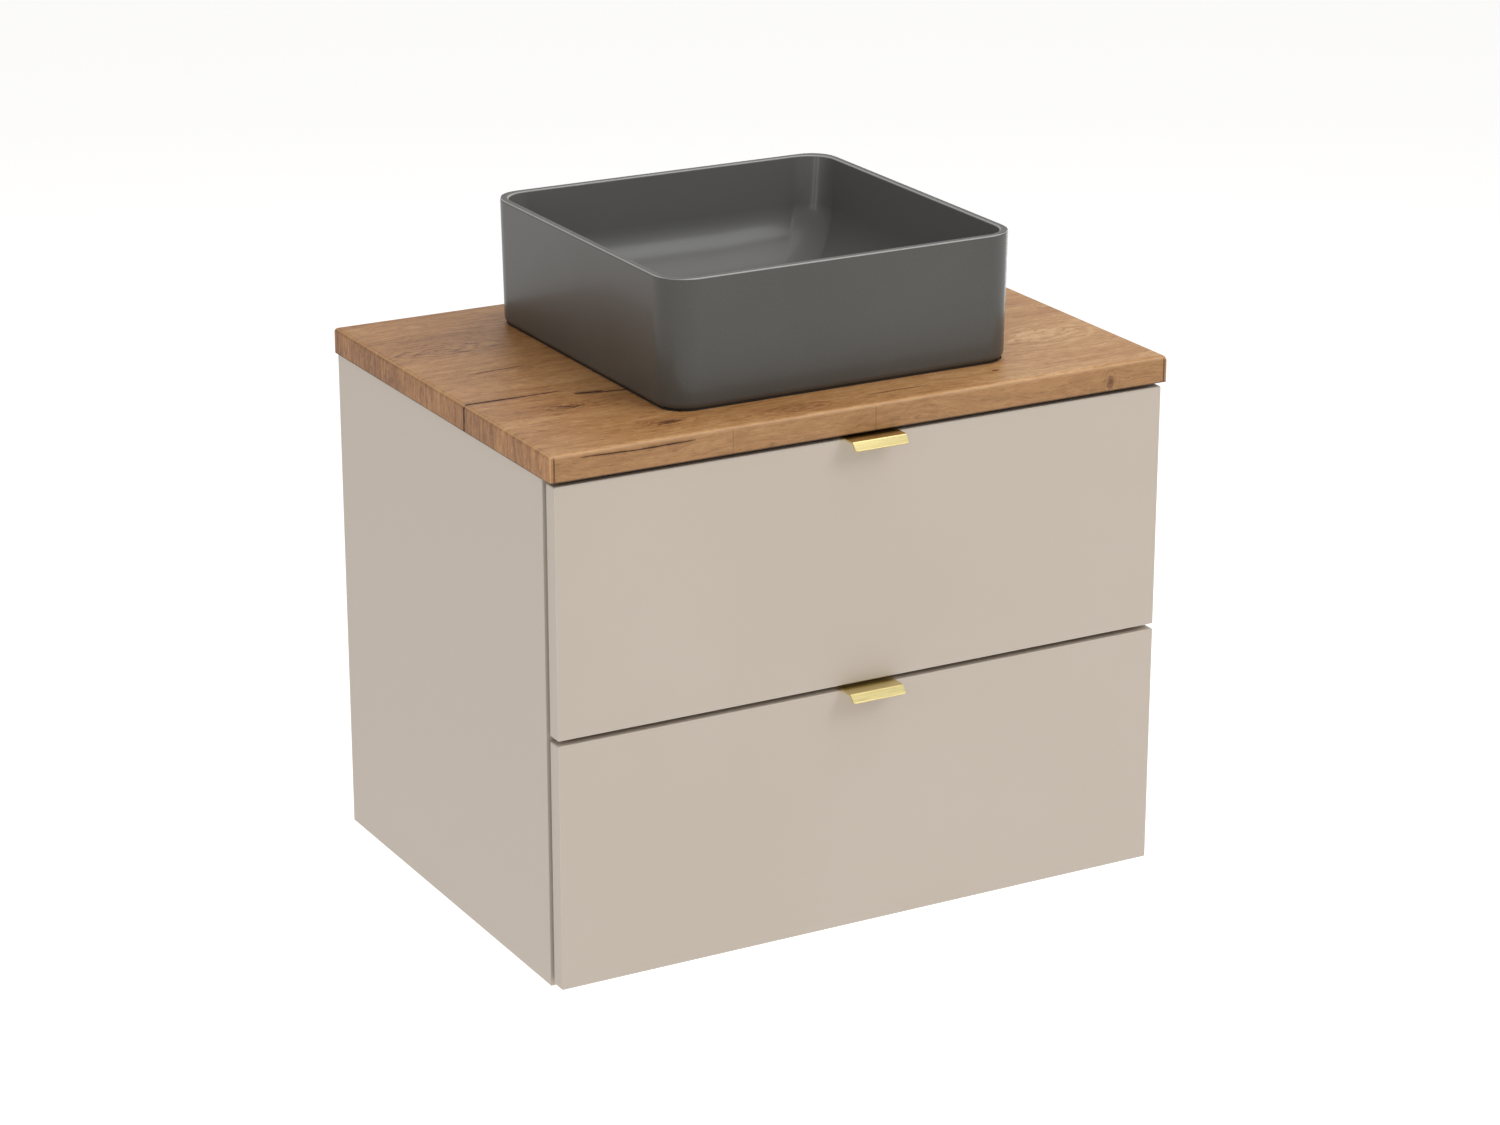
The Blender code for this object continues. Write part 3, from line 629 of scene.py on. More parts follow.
def oak_laminate():
    """Rustic oak: bent grain, pores, dark splits, knots and faint joints between staves, with painted light
    and shade: lighter to the right, a darker front edge and ends, pale rounded edges and a dark lowest edge.
    """
    low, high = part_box("worktop")
    material, graph, shader = new_material("oak_laminate", Specular_IOR_Level=0.26)
    along, across, on_end, on_front = unrolled_grain(graph, high.z)
    grain_line = across
    hearts = []
    rings = []
    for *shape, darkness in KNOTS:
        knot = lay_knot(graph, along, across, shape)
        grain_line = graph.math("SUBTRACT", grain_line, knot["Bend"])
        hearts.append(graph.math("MULTIPLY", knot["Heart"], darkness))
        rings.append(knot["Rings"])
    hearts = graph.worst_of(hearts)
    rings = graph.worst_of(rings)
    pale = lay_knot(graph, along, across, PALE_FIGURE)
    grain_line = graph.math("SUBTRACT", grain_line, pale["Bend"])
    splits, stains = lay_splits(graph, along, across)
    flat = graph.pair(along, across)
    warp = graph.math("MULTIPLY", graph.math("SUBTRACT", graph.noise(flat, 6.0, 4.0, 0.6), 0.5), 0.045)
    grain = graph.pair(along, graph.math("ADD", grain_line, warp))
    broad = graph.drawn_noise(grain, (2.4, 24.0, 1.0), 3.0, 0.55, 0.3)
    bands = graph.drawn_noise(grain, (9.0, 115.0, 1.0), 5.0, 0.65, 0.5)
    lines = graph.drawn_noise(grain, (28.0, 430.0, 1.0), 4.0, 0.65)
    fibre = graph.drawn_noise(grain, (70.0, 1700.0, 1.0), 3.0, 0.7)
    pores = graph.span(graph.drawn_noise(grain, (120.0, 800.0, 1.0), 2.0), 0.57, 0.68)
    flares = graph.span(graph.drawn_noise(grain, (13.0, 190.0, 1.0), 3.0, 0.6, 0.8), 0.64, 0.76)
    swirl = graph.drawn_noise(flat, (16.0, 34.0, 1.0), 4.0, 0.6, 2.2)
    curl = graph.span(graph.math("ABSOLUTE", graph.math("SUBTRACT", swirl, 0.5)), 0.0, 0.022, 1.0, 0.0)
    mottle = graph.drawn_noise(flat, (60.0, 150.0, 1.0), 4.0, 0.7)
    value = graph.weighted(graph.math("MULTIPLY", bands, 0.22),
                           [(broad, 0.27), (lines, 0.26), (mottle, 0.25)])
    value = graph.span(value, 0.33, 0.67)
    # Lighter towards the right end: painted light.
    value = graph.math("ADD", value, graph.span(along, -0.30, 0.30, -0.03, 0.13))
    value = graph.math("ADD", value, graph.span(across, -0.44, -0.30, 0.10, 0.0))
    # The front edge and the ends are darker than the top: painted shade.
    value = graph.weighted(graph.math("SUBTRACT", value, 0.15), [
        (fibre, 0.30), (pale["Rings"], 0.16), (pale["Heart"], graph.math("MULTIPLY", mottle, 0.34)),
        (flares, -0.20), (rings, -0.30), (curl, 0.14), (pores, -0.26), (on_front, -0.20), (on_end, -0.20)])
    tone = graph.ramp(value, WOOD_TONES)
    for mask, amount, over in (
            # Front edge tinted darker and duller: painted shade.
            (on_front, 0.45, colour(146, 117, 86)),
            (hearts, 1.0, colour(86, 50, 38)),
            (stave_joints(graph, along, on_front), 0.42, colour(104, 72, 46)),
            (stains, 0.42, colour(112, 70, 40)),
            (splits, 0.90, colour(48, 27, 18)),
            (band_seam(graph, high.x, on_front), 0.85, colour(78, 48, 32)),
            # Pale rounded edges: painted highlight.
            (graph.place(EASED, {"Uneven": 30.0})["Eased"], 0.55, colour(226, 186, 144)),
            # Dark band along the lowest edge: painted shade of the gap under the board.
            (painted_gap_shade(graph, low.z), 0.85, colour(38, 27, 21))):
        tone = graph.tint(mask, amount, tone, over)
    graph.feed(shader["Base Color"], tone)
    rough = graph.span(fibre, 0.3, 0.7, 0.40, 0.52)
    graph.feed(shader["Roughness"], graph.math("MULTIPLY_ADD", splits, 0.3, rough))
    height = graph.weighted(fibre, [(lines, 0.8), (pores, -1.2), (splits, -6.0)])
    graph.feed(shader["Normal"], graph.bump(height, 0.22, 0.0004))
    return material


def stave_joints(graph, along, on_front):
    """Faint dark upright joints between the staves on the front edge."""
    marks = []
    for at in STAVE_JOINTS:
        away = graph.math("ABSOLUTE", graph.math("SUBTRACT", along, at))
        marks.append(graph.span(away, 0.0002, 0.0008, 1.0, 0.0))
    return graph.math("MULTIPLY", graph.worst_of(marks), on_front)


def band_seam(graph, half_width, on_front):
    """Thin dark line on the front edge where the end bands meet it."""
    x = graph.parts(graph.object_place())[0]
    away = graph.math("SUBTRACT", half_width - END_BAND, graph.math("ABSOLUTE", x))
    line = graph.span(graph.math("ABSOLUTE", away), 0.0004, 0.0010, 1.0, 0.0)
    return graph.math("MULTIPLY", line, on_front)


def painted_gap_shade(graph, bottom):
    """Painted shade along the board's lowest edge, which draws the shadow of the gap under the board."""
    z = graph.parts(graph.object_place())[2]
    return graph.span(z, bottom + 0.0005, bottom + GAP_SHADE_HEIGHT, 1.0, 0.0)


FINISH = {
    "taupe_lacquer": taupe_lacquer(),
    "drawer_board": drawer_board(),
    "oak_laminate": oak_laminate(),
    "graphite_glaze": graphite_glaze(),
    "brushed_brass": brushed_brass(),
    "zinc_steel": rolled_steel(),
    "chrome_plate": chrome_plate(),
    "white_plastic": moulded_plastic(),
    "black_rubber": black_rubber(),
}
SEALANT_AND_SHADE = sealant_and_painted_shade()


# ---------------------------------------------------------------- mesh building


def object_of(name, bm):
    """New object in the scene from a bmesh, which is used up."""
    mesh = bpy.data.meshes.new(name)
    bm.to_mesh(mesh)
    bm.free()
    obj = bpy.data.objects.new(name, mesh)
    bpy.context.scene.collection.objects.link(obj)
    return obj


def box_bm(low, high):
    bm = bmesh.new()
    bmesh.ops.create_cube(bm, size=1.0)
    low = Vector(low)
    high = Vector(high)
    bmesh.ops.scale(bm, vec=high - low, verts=bm.verts)
    bmesh.ops.translate(bm, vec=(high + low) / 2, verts=bm.verts)
    return bm


def ease(bm, width, segments=3, edges=None):
    """Round the given edges, or all of them."""
    chosen = bm.edges[:] if edges is None else edges
    bmesh.ops.bevel(bm, geom=chosen, offset=width, segments=segments, profile=0.5,
                    affect="EDGES", material=-1)


# Half the angle between two sides, past which their corner stays as it is
NEARLY_STRAIGHT = math.radians(86)


def eased_outline(points, radius, steps=4, closed=True, share=1 / 3):
    """Points with an arc at each corner, no wider than a share of the sides next to it."""
    result = []
    count = len(points)
    for index, point in enumerate(points):
        corner = Vector(point)
        if not closed and index in (0, count - 1):
            result.append(corner)
            continue
        to_before = Vector(points[index - 1]) - corner
        to_after = Vector(points[(index + 1) % count]) - corner
        half_angle = to_before.angle(to_after) / 2
        if half_angle > NEARLY_STRAIGHT:
            result.append(corner)
            continue
        back = min(radius / math.tan(half_angle), to_before.length * share, to_after.length * share)
        bend = back * math.tan(half_angle)
        inward = (to_before.normalized() + to_after.normalized()).normalized()
        centre = corner + inward * bend / math.sin(half_angle)
        start = (corner + to_before.normalized() * back - centre).normalized()
        end = (corner + to_after.normalized() * back - centre).normalized()
        for step in range(steps + 1):
            result.append(centre + start.slerp(end, step / steps) * bend)
    return result


def turned_bm(profile, place, steps=64, closed=True, turn=None):
    """Profile of (radius, height) points spun about Z, turned if asked, and moved to its place."""
    bm = bmesh.new()
    verts = [bm.verts.new((max(radius, 0.0), 0.0, height)) for radius, height in profile]
    pairs = list(zip(verts, verts[1:]))
    if closed:
        pairs.append((verts[-1], verts[0]))
    edges = [bm.edges.new(pair) for pair in pairs]
    bmesh.ops.spin(bm, geom=verts + edges, cent=(0, 0, 0), axis=(0, 0, 1), angle=math.tau,
                   steps=steps, use_merge=True)
    bmesh.ops.remove_doubles(bm, verts=bm.verts, dist=0.000002)
    bmesh.ops.recalc_face_normals(bm, faces=bm.faces)
    move = Matrix.Translation(Vector(place))
    bmesh.ops.transform(bm, matrix=move @ (turn or Matrix.Identity(4)), verts=bm.verts)
    return bm


def round_bar(radius, low, high, place, steps=64, turn=None):
    """Plain round bar, closed at both ends, from one height to another."""
    return turned_bm([(0.0, low), (radius, low), (radius, high), (0.0, high)], place, steps, False, turn)


def merge_bms(shapes):
    """Several shapes as one bmesh."""
    whole = bmesh.new()
    for shape in shapes:
        scratch = bpy.data.meshes.new("scratch")
        shape.to_mesh(scratch)
        shape.free()
        whole.from_mesh(scratch)
        bpy.data.meshes.remove(scratch)
    return whole


def applied(obj):
    """Make the object's modifiers part of its mesh."""
    graph = bpy.context.evaluated_depsgraph_get()
    mesh = bpy.data.meshes.new_from_object(obj.evaluated_get(graph))
    obj.modifiers.clear()
    obj.data = mesh


def cut_with(obj, shapes, operation="DIFFERENCE"):
    """Cut shapes out of the object, or join them to it, and keep the result as its mesh."""
    cutter = object_of("cutter", merge_bms(shapes))
    modifier = obj.modifiers.new("cut", "BOOLEAN")
    modifier.operation = operation
    modifier.solver = "EXACT"
    modifier.object = cutter
    applied(obj)
    bpy.data.objects.remove(cutter, do_unlink=True)


def round_edges(obj, width, segments, sharper_than=30):
    """Round the edges that turn by more than an angle in degrees, and keep the result as the mesh."""
    bevel = obj.modifiers.new("eased", "BEVEL")
    bevel.width = width
    bevel.segments = segments
    bevel.limit_method = "ANGLE"
    bevel.angle_limit = math.radians(sharper_than)
    applied(obj)


SMOOTH_BELOW = math.radians(38)


def piece(name, bm, finish, body, stands_for=()):
    """Object from a bmesh, riding on a body, with its finish."""
    obj = object_of(name, bm)
    if isinstance(finish, str):
        obj.data.materials.append(FINISH[finish])
    else:
        obj.data.materials.append(finish)
    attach(obj, body)
    if stands_for:
        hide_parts(*stands_for)
    return obj


def shade(obj, weighted=True):
    """Smooth shading that keeps hard corners and flat faces."""
    obj.data.polygons.foreach_set("use_smooth", [True] * len(obj.data.polygons))
    obj.data.set_sharp_from_angle(angle=SMOOTH_BELOW)
    if weighted:
        modifier = obj.modifiers.new("even_shading", "WEIGHTED_NORMAL")
        modifier.keep_sharp = True
    return obj


def upright_edges(bm):
    return [edge for edge in bm.edges if abs(edge.verts[0].co.z - edge.verts[1].co.z) > 0.001]


def panel(name, low, high, finish, body, stands_for=(), edge=0.0010, segments=3):
    """Board with eased edges between two corners."""
    bm = box_bm(low, high)
    ease(bm, edge, segments)
    return shade(piece(name, bm, finish, body, stands_for))


def node_panel(name, node, finish, body, edge=0.0010, segments=3):
    """Board as large as a CAD node, which it stands for."""
    low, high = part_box(node)
    return panel(name, low, high, finish, body, [node], edge, segments)


# ---------------------------------------------------------------- cabinet


EDGE_BAND = 0.0010
BOARD_EASE = 0.0007
NOTCH_GAP = 0.0023
NOTCH_HALF = 0.017
# How far a cutter runs past what it cuts
PAST = 0.002


def make_carcass():
    for word, side in SIDES.items():
        low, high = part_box("side_panel_" + word)
        body_low = low.copy()
        body_low.y += EDGE_BAND
        panel("cabinet_side_" + word, body_low, high, "taupe_lacquer", "cabinet",
              ["side_panel_" + word], BOARD_EASE)
        band_high = high.copy()
        band_high.y = low.y + EDGE_BAND
        panel("edge_band_" + word, low, band_high, "taupe_lacquer", "cabinet", edge=0.0003, segments=2)
    for name, node in (("cabinet_floor", "bottom_panel"), ("cabinet_front_rail", "front_rail"),
                       ("cabinet_lower_rail", "rear_rail_lower")):
        node_panel(name, node, "taupe_lacquer", "cabinet", BOARD_EASE)
    make_hanging_rail()


def make_hanging_rail():
    """Rear rail, notched at both ends for the hangers."""
    low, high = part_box("hanging_rail")
    rail = node_panel("cabinet_hanging_rail", "hanging_rail", "taupe_lacquer", "cabinet", BOARD_EASE)
    rail.modifiers.clear()
    notches = []
    for word, side in SIDES.items():
        case_low, case_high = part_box("hanger_" + word)
        inner = case_low.x if side > 0 else case_high.x
        xs = sorted((inner - side * NOTCH_GAP, side * (high.x + PAST)))
        notches.append(box_bm((xs[0], low.y - PAST, -NOTCH_HALF), (xs[1], high.y + PAST, NOTCH_HALF)))
    cut_with(rail, notches)
    shade(rail)


FRONT_EASE = 0.0014


def make_fronts():
    for word in DRAWERS:
        node_panel(word + "_front_panel", word + "_front", "taupe_lacquer", word + "_drawer", FRONT_EASE, 4)


# ---------------------------------------------------------------- worktop


def weight_edges(bm, rule):
    """Bevel weight of each edge from a rule on the middle of the edge and its direction."""
    layer = bm.edges.layers.float.new("bevel_weight_edge")
    for edge in bm.edges:
        first, second = (vert.co for vert in edge.verts)
        edge[layer] = rule((first + second) / 2, (second - first).normalized())


TOP_ROUND = 0.0052
TOP_HOLE = 0.0235


def make_worktop():
    """Board with a full rounding along the front's upper edge, less at the ends and little below."""
    low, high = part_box("worktop")
    bm = box_bm(low, high)

    def roundness(middle, direction):
        at_front = middle.y < low.y + 0.001
        if abs(direction.z) > 0.5:
            return 0.45 if at_front else 0.2
        if middle.z < high.z - 0.001:
            return 0.16
        return 1.0 if at_front else 0.7

    weight_edges(bm, roundness)
    board = piece("worktop_board", bm, "oak_laminate", "cabinet", ["worktop"])
    bevel = board.modifiers.new("rounding", "BEVEL")
    bevel.limit_method = "WEIGHT"
    bevel.width = TOP_ROUND
    bevel.segments = 6
    applied(board)
    cut_with(board, [round_bar(TOP_HOLE, low.z - 0.01, high.z + 0.01, axis_place(), 48)])
    shade(board)


# ---------------------------------------------------------------- basin


CORNER_ARC = 14
SIDE_SPLITS = 8
WALL = 0.007
RIM_ROUND = 0.0020
FOOT_ROUND = 0.0068
# Gap under the middle of the basin, inside its foot
HOLLOW_FOOT = 0.0012
BOWL_CORNER = 0.024
BOWL_FILLET = 0.062
# How much wider the bowl's corners get with each metre of depth
CORNER_GROWTH = 0.24
# The waste sits in a shallow round well in the bowl's floor
WELL_RADIUS = 0.036
WELL_DEPTH = 0.0035
WASTE_BORE = 0.0225


def ray_length(turn, half, corner):
    """Distance from the middle to a rounded square's outline, in one direction."""
    across = abs(math.cos(turn))
    up = abs(math.sin(turn))
    reach = half / max(across, up)
    straight = half - corner
    if reach * min(across, up) <= straight:
        return reach
    both = straight * (across + up)
    return both + math.sqrt(max(both * both - 2 * straight * straight + corner * corner, 0.0))


def basin_turns(half):
    """Directions of the ring's points: close together round the corners."""
    straight = half - OUTER_CORNER
    turns = []
    for quarter in range(4):
        base = quarter * math.pi / 2
        for step in range(CORNER_ARC + 1):
            arc = step / CORNER_ARC * math.pi / 2
            turns.append(base + math.atan2(straight + OUTER_CORNER * math.sin(arc),
                                           straight + OUTER_CORNER * math.cos(arc)))
        first = turns[-1]
        last = base + math.pi / 2 + math.atan2(straight, half)
        for step in range(1, SIDE_SPLITS):
            turns.append(first + (last - first) * step / SIDE_SPLITS)
    return turns


def basin_rings(low, high):
    """Half width, corner radius and height of each ring, from the waste hole out, over and in."""
    half = (high.x - low.x) / 2
    foot_half = half - 0.002
    under = low.z + HOLLOW_FOOT
    floor = low.z + 0.015
    bowl_half = half - 0.015
    outline = [
        ((WASTE_BORE, under), 0.0),
        ((0.060, under), 0.0006),
        ((foot_half - 0.023, under), 0.0),
        ((foot_half - 0.022, low.z), 0.0),
        ((foot_half, low.z), FOOT_ROUND),
        ((half, high.z), RIM_ROUND),
        ((half - WALL, high.z), RIM_ROUND),
        ((bowl_half, floor), BOWL_FILLET),
        ((WELL_RADIUS, floor - 0.001), 0.0015),
        ((WELL_RADIUS - 0.0025, floor - WELL_DEPTH), 0.0010),
        ((WASTE_BORE, floor - WELL_DEPTH), 0.0),
    ]
    rings = []
    count = len(outline)
    for index, (point, radius) in enumerate(outline):
        if not radius:
            rings.append(Vector(point))
            continue
        trio = [outline[index - 1][0], point, outline[(index + 1) % count][0]]
        steps = 14 if radius > 0.003 else 5
        rings.extend(eased_outline(trio, radius, steps, closed=False, share=0.8)[1:-1])
    return rings, half, bowl_half


def ring_corner(width, depth, inside, half, bowl_half):
    """Plan corner radius of one of the basin's rings: the bowl's corners open out towards its floor."""
    if width < WELL_RADIUS + 0.0001:
        return width
    if not inside:
        return max(OUTER_CORNER - (half - width), min(width, 0.012))
    corner = BOWL_CORNER + CORNER_GROWTH * max(depth, 0.0)
    flat = bowl_half - BOWL_FILLET
    roundness = min(max((flat - width) / (flat - WELL_RADIUS), 0.0), 1.0)
    return corner + (width - corner) * roundness


def make_basin():
    """Closed shell drawn ring by ring: under the foot, up the outside, over the rim and down inside."""
    low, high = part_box("basin")
    centre = (low + high) / 2
    rings, half, bowl_half = basin_rings(low, high)
    turns = basin_turns(half)
    bm = bmesh.new()
    loops = []
    inside = False
    for ring in rings:
        inside = inside or ring.y > high.z - 0.00001
        corner = ring_corner(ring.x, high.z - ring.y, inside, half, bowl_half)
        if not loops:
            verts = bmesh.ops.create_circle(bm, segments=len(turns), radius=0.01)["verts"]
            edges = list({edge for vert in verts for edge in vert.link_edges})
            verts = ordered_loop(verts)
        else:
            made = bmesh.ops.extrude_edge_only(bm, edges=edges)["geom"]
            edges = [item for item in made if isinstance(item, bmesh.types.BMEdge)
                     and all(vert not in old for vert in item.verts)]
            links = {}
            for vert in (item for item in made if isinstance(item, bmesh.types.BMVert)):
                for edge in vert.link_edges:
                    other = edge.other_vert(vert)
                    if other in old:
                        links[old[other]] = vert
            verts = [links[index] for index in range(len(turns))]
        for turn, vert in zip(turns, verts):
            reach = ray_length(turn, ring.x, corner)
            vert.co = (centre.x + reach * math.cos(turn), centre.y + reach * math.sin(turn), ring.y)
        old = {vert: index for index, vert in enumerate(verts)}
        loops.append((verts, edges))
    bmesh.ops.bridge_loops(bm, edges=loops[0][1] + loops[-1][1])
    bmesh.ops.recalc_face_normals(bm, faces=bm.faces)
    basin = piece("basin_shell", bm, "graphite_glaze", "cabinet", ["basin"])
    shade(basin)


def ordered_loop(verts):
    """A closed loop's vertices in order along it."""
    ordered = [verts[0]]
    before = None
    while len(ordered) < len(verts):
        current = ordered[-1]
        for edge in current.link_edges:
            other = edge.other_vert(current)
            if other is not before:
                break
        before = current
        ordered.append(other)
    return ordered


# The bead is set out so that it shows as a dark line round the foot: painted shade.
BEAD_SETBACK = 0.0042
BEAD_WIDTH = 0.004


def make_sealant():
    """Thin bead that fills the joint under the basin's foot; its black colour is painted shade, the contact
    shadow round the foot.
    """
    low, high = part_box("basin")
    _, board_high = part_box("worktop")
    centre = (low + high) / 2
    half = (high.x - low.x) / 2 - BEAD_SETBACK
    bm = box_bm((centre.x - half, centre.y - half, board_high.z + 0.00005),
                (centre.x + half, centre.y + half, low.z + HOLLOW_FOOT))
    ease(bm, OUTER_CORNER - 0.006, 10, upright_edges(bm))
    caps = [face for face in bm.faces if abs(face.normal.z) > 0.9]
    bmesh.ops.inset_region(bm, faces=caps, thickness=BEAD_WIDTH, use_even_offset=True)
    within = half - BEAD_WIDTH + 0.001
    inner = [face for face in bm.faces if abs(face.normal.z) > 0.9 and
             all(abs(vert.co.x - centre.x) < within for vert in face.verts) and
             all(abs(vert.co.y - centre.y) < within for vert in face.verts)]
    rims = [edge for face in inner for edge in face.edges]
    bmesh.ops.delete(bm, geom=inner, context="FACES")
    bmesh.ops.bridge_loops(bm, edges=list({edge for edge in rims if edge.is_valid}))
    bmesh.ops.recalc_face_normals(bm, faces=bm.faces)
    shade(piece("basin_bead_painted_shade", bm, SEALANT_AND_SHADE, "cabinet"))


# ---------------------------------------------------------------- handles and small metal


def strip_bm(path, sweep):
    """Open sheet: a path of points swept by a vector."""
    bm = bmesh.new()
    verts = [bm.verts.new(point) for point in path]
    edges = [bm.edges.new(pair) for pair in zip(verts, verts[1:])]
    made = bmesh.ops.extrude_edge_only(bm, edges=edges)["geom"]
    moved = [item for item in made if isinstance(item, bmesh.types.BMVert)]
    bmesh.ops.translate(bm, vec=sweep, verts=moved)
    return bm


TO_BACK = Matrix.Rotation(-math.pi / 2, 4, "X")
TO_FRONT = Matrix.Rotation(math.pi / 2, 4, "X")
TO_RIGHT = Matrix.Rotation(math.pi / 2, 4, "Y")
TO_LEFT = Matrix.Rotation(-math.pi / 2, 4, "Y")
DOWN = Matrix.Rotation(math.pi, 4, "X")

HANDLE_SHEET = 0.0018
HANDLE_LIP = 0.006
HANDLE_REACH = 0.0155
HANDLE_BEND = 0.0016
HANDLE_HOLE = 0.0021
TOUCH = 0.0003


def make_handle(word):
    """Folded brass pull: leg behind the front, flange over its top edge, sloped lip."""
    low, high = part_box(word + "_handle")
    front_low, front_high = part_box(word + "_front")
    rear = front_high.y + TOUCH
    base = front_high.z + TOUCH
    bend = front_low.y - HANDLE_REACH
    path = eased_outline([(rear, low.z), (rear, base), (bend, base), (bend - HANDLE_LIP, base - HANDLE_LIP)],
                         HANDLE_BEND, 6, closed=False)
    bm = strip_bm([(low.x, y, z) for y, z in path], (high.x - low.x, 0, 0))
    tips = [vert for vert in bm.verts if vert.co.y < bend - HANDLE_LIP + 0.0001]
    bmesh.ops.bevel(bm, geom=tips, offset=0.0022, segments=5, profile=0.5, affect="VERTICES", material=-1)
    handle = piece(word + "_pull", bm, "brushed_brass", word + "_drawer", [word + "_handle"])
    sheet = handle.modifiers.new("sheet", "SOLIDIFY")
    sheet.thickness = HANDLE_SHEET
    sheet.offset = -1.0
    sheet.use_even_offset = True
    round_edges(handle, 0.00035, 3, 50)
    screws = [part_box(f"{word}_handle_screw_{side_word}") for side_word in SIDES]
    middles = [(screw_low + screw_high) / 2 for screw_low, screw_high in screws]
    cut_with(handle, [round_bar(HANDLE_HOLE, -0.003, 0.003, (middle.x, rear + 0.0008, middle.z), 24, TO_BACK)
                      for middle in middles])
    shade(handle)
    for side_word, middle in zip(SIDES, middles):
        bm = screw_shapes((middle.x, rear + HANDLE_SHEET + 0.0001, middle.z), TO_BACK, 0.0030, 0.010)
        shade(piece(f"{word}_pull_screw_{side_word}", bm, "zinc_steel", word + "_drawer",
                    [f"{word}_handle_screw_{side_word}"]), weighted=False)


def screw_shapes(place, turn, head, length):
    """Pan-head screw with a cross recess; the head faces the turned +Z."""
    profile = [(0.0, head * 0.34), (head * 0.45, head * 0.32), (head * 0.80, head * 0.20), (head, 0.0),
               (head * 0.5, 0.0), (head * 0.5, -length), (head * 0.15, -length - head * 0.4),
               (0.0, -length - head * 0.5)]
    scratch = object_of("scratch", turned_bm(profile, (0, 0, 0), 24, False))
    arm = head * 0.62
    slot = head * 0.13
    for across, along in ((arm, slot), (slot, arm)):
        cut_with(scratch, [box_bm((-across, -along, head * 0.10), (across, along, head))])
    bm = bmesh.new()
    bm.from_mesh(scratch.data)
    bpy.data.objects.remove(scratch, do_unlink=True)
    bmesh.ops.transform(bm, matrix=Matrix.Translation(Vector(place)) @ turn, verts=bm.verts)
    return bm


ANGLE_SHEET = 0.002
ANGLE_SCREW_HEAD = 0.0035
ANGLE_SCREW_LENGTH = 0.0015
# A screw's place off the middle of its leg, away from the fold
SCREW_SHIFT = 0.003


def angle_bracket(name, node, body, corner_signs):
    """Folded steel angle in a node's box; corner_signs say which two faces its legs lie on."""
    low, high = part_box(node)
    legs = []
    for index, sign in corner_signs:
        leg_low = low.copy()
        leg_high = high.copy()
        if sign > 0:
            leg_low[index] = high[index] - ANGLE_SHEET
        else:
            leg_high[index] = low[index] + ANGLE_SHEET
        legs.append(box_bm(leg_low, leg_high))
    first, second = legs
    bracket = piece(name, first, "zinc_steel", body, [node])
    cut_with(bracket, [second], "UNION")
    round_edges(bracket, 0.0005, 2)
    shade(bracket)


def side_leg(node, side):
    """Inner face of the leg against a side panel, the way its screws face, and their place off it."""
    low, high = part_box(node)
    inner = high.x - ANGLE_SHEET if side > 0 else low.x + ANGLE_SHEET
    turn = TO_LEFT if side > 0 else TO_RIGHT
    return inner, turn, (low.x + high.x) / 2 - side * SCREW_SHIFT


def angle_screws(name, body, places):
    """Screws of a bracket: a place and the way it faces for each."""
    screws = [screw_shapes(place, turn, ANGLE_SCREW_HEAD, ANGLE_SCREW_LENGTH) for place, turn in places]
    shade(piece(name, merge_bms(screws), "zinc_steel", body), weighted=False)


def make_top_brackets():
    for place_word in ("front", "rear"):
        for word, side in SIDES.items():
            node = f"worktop_bracket_{place_word}_{word}"
            angle_bracket(f"top_angle_{place_word}_{word}", node, "cabinet", [(0, side), (2, 1)])
            low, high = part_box(node)
            inner, turn, foot_x = side_leg(node, side)
            middle_y = (low.y + high.y) / 2
            angle_screws(f"top_angle_screws_{place_word}_{word}", "cabinet",
                         [((inner, middle_y, low.z + 0.009), turn),
                          ((foot_x, middle_y, high.z - ANGLE_SHEET), DOWN)])


def make_front_brackets():
    for word in DRAWERS:
        for side_word, side in SIDES.items():
            node = f"{word}_front_bracket_{side_word}"
            angle_bracket(f"{word}_front_angle_{side_word}", node, word + "_drawer", [(0, side), (1, -1)])
            low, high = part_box(node)
            inner, turn, foot_x = side_leg(node, side)
            places = []
            for z in (low.z + 0.014, high.z - 0.014):
                places.append(((inner, low.y + 0.016, z), turn))
                places.append(((foot_x, low.y + ANGLE_SHEET, z), TO_BACK))
            angle_screws(f"{word}_front_angle_screws_{side_word}", word + "_drawer", places)


# ---------------------------------------------------------------- drawers and runners


DRAWER_EASE = 0.0008
DRAWER_FLOOR_EASE = 0.0004
RECESS_WALL = 0.008


def make_drawer_boxes():
    for word in DRAWERS:
        for side_word in SIDES:
            node_panel(f"{word}_box_side_{side_word}", f"{word}_side_{side_word}", "drawer_board",
                       word + "_drawer", DRAWER_EASE)
    node_panel("lower_box_floor", "lower_base", "drawer_board", "lower_drawer", DRAWER_FLOOR_EASE, 2)
    node_panel("lower_box_back", "lower_back", "drawer_board", "lower_drawer", DRAWER_EASE)
    for side_word in SIDES:
        node_panel("upper_box_back_" + side_word, "upper_back_" + side_word, "drawer_board",
                   "upper_drawer", DRAWER_EASE)
    make_trap_recess()


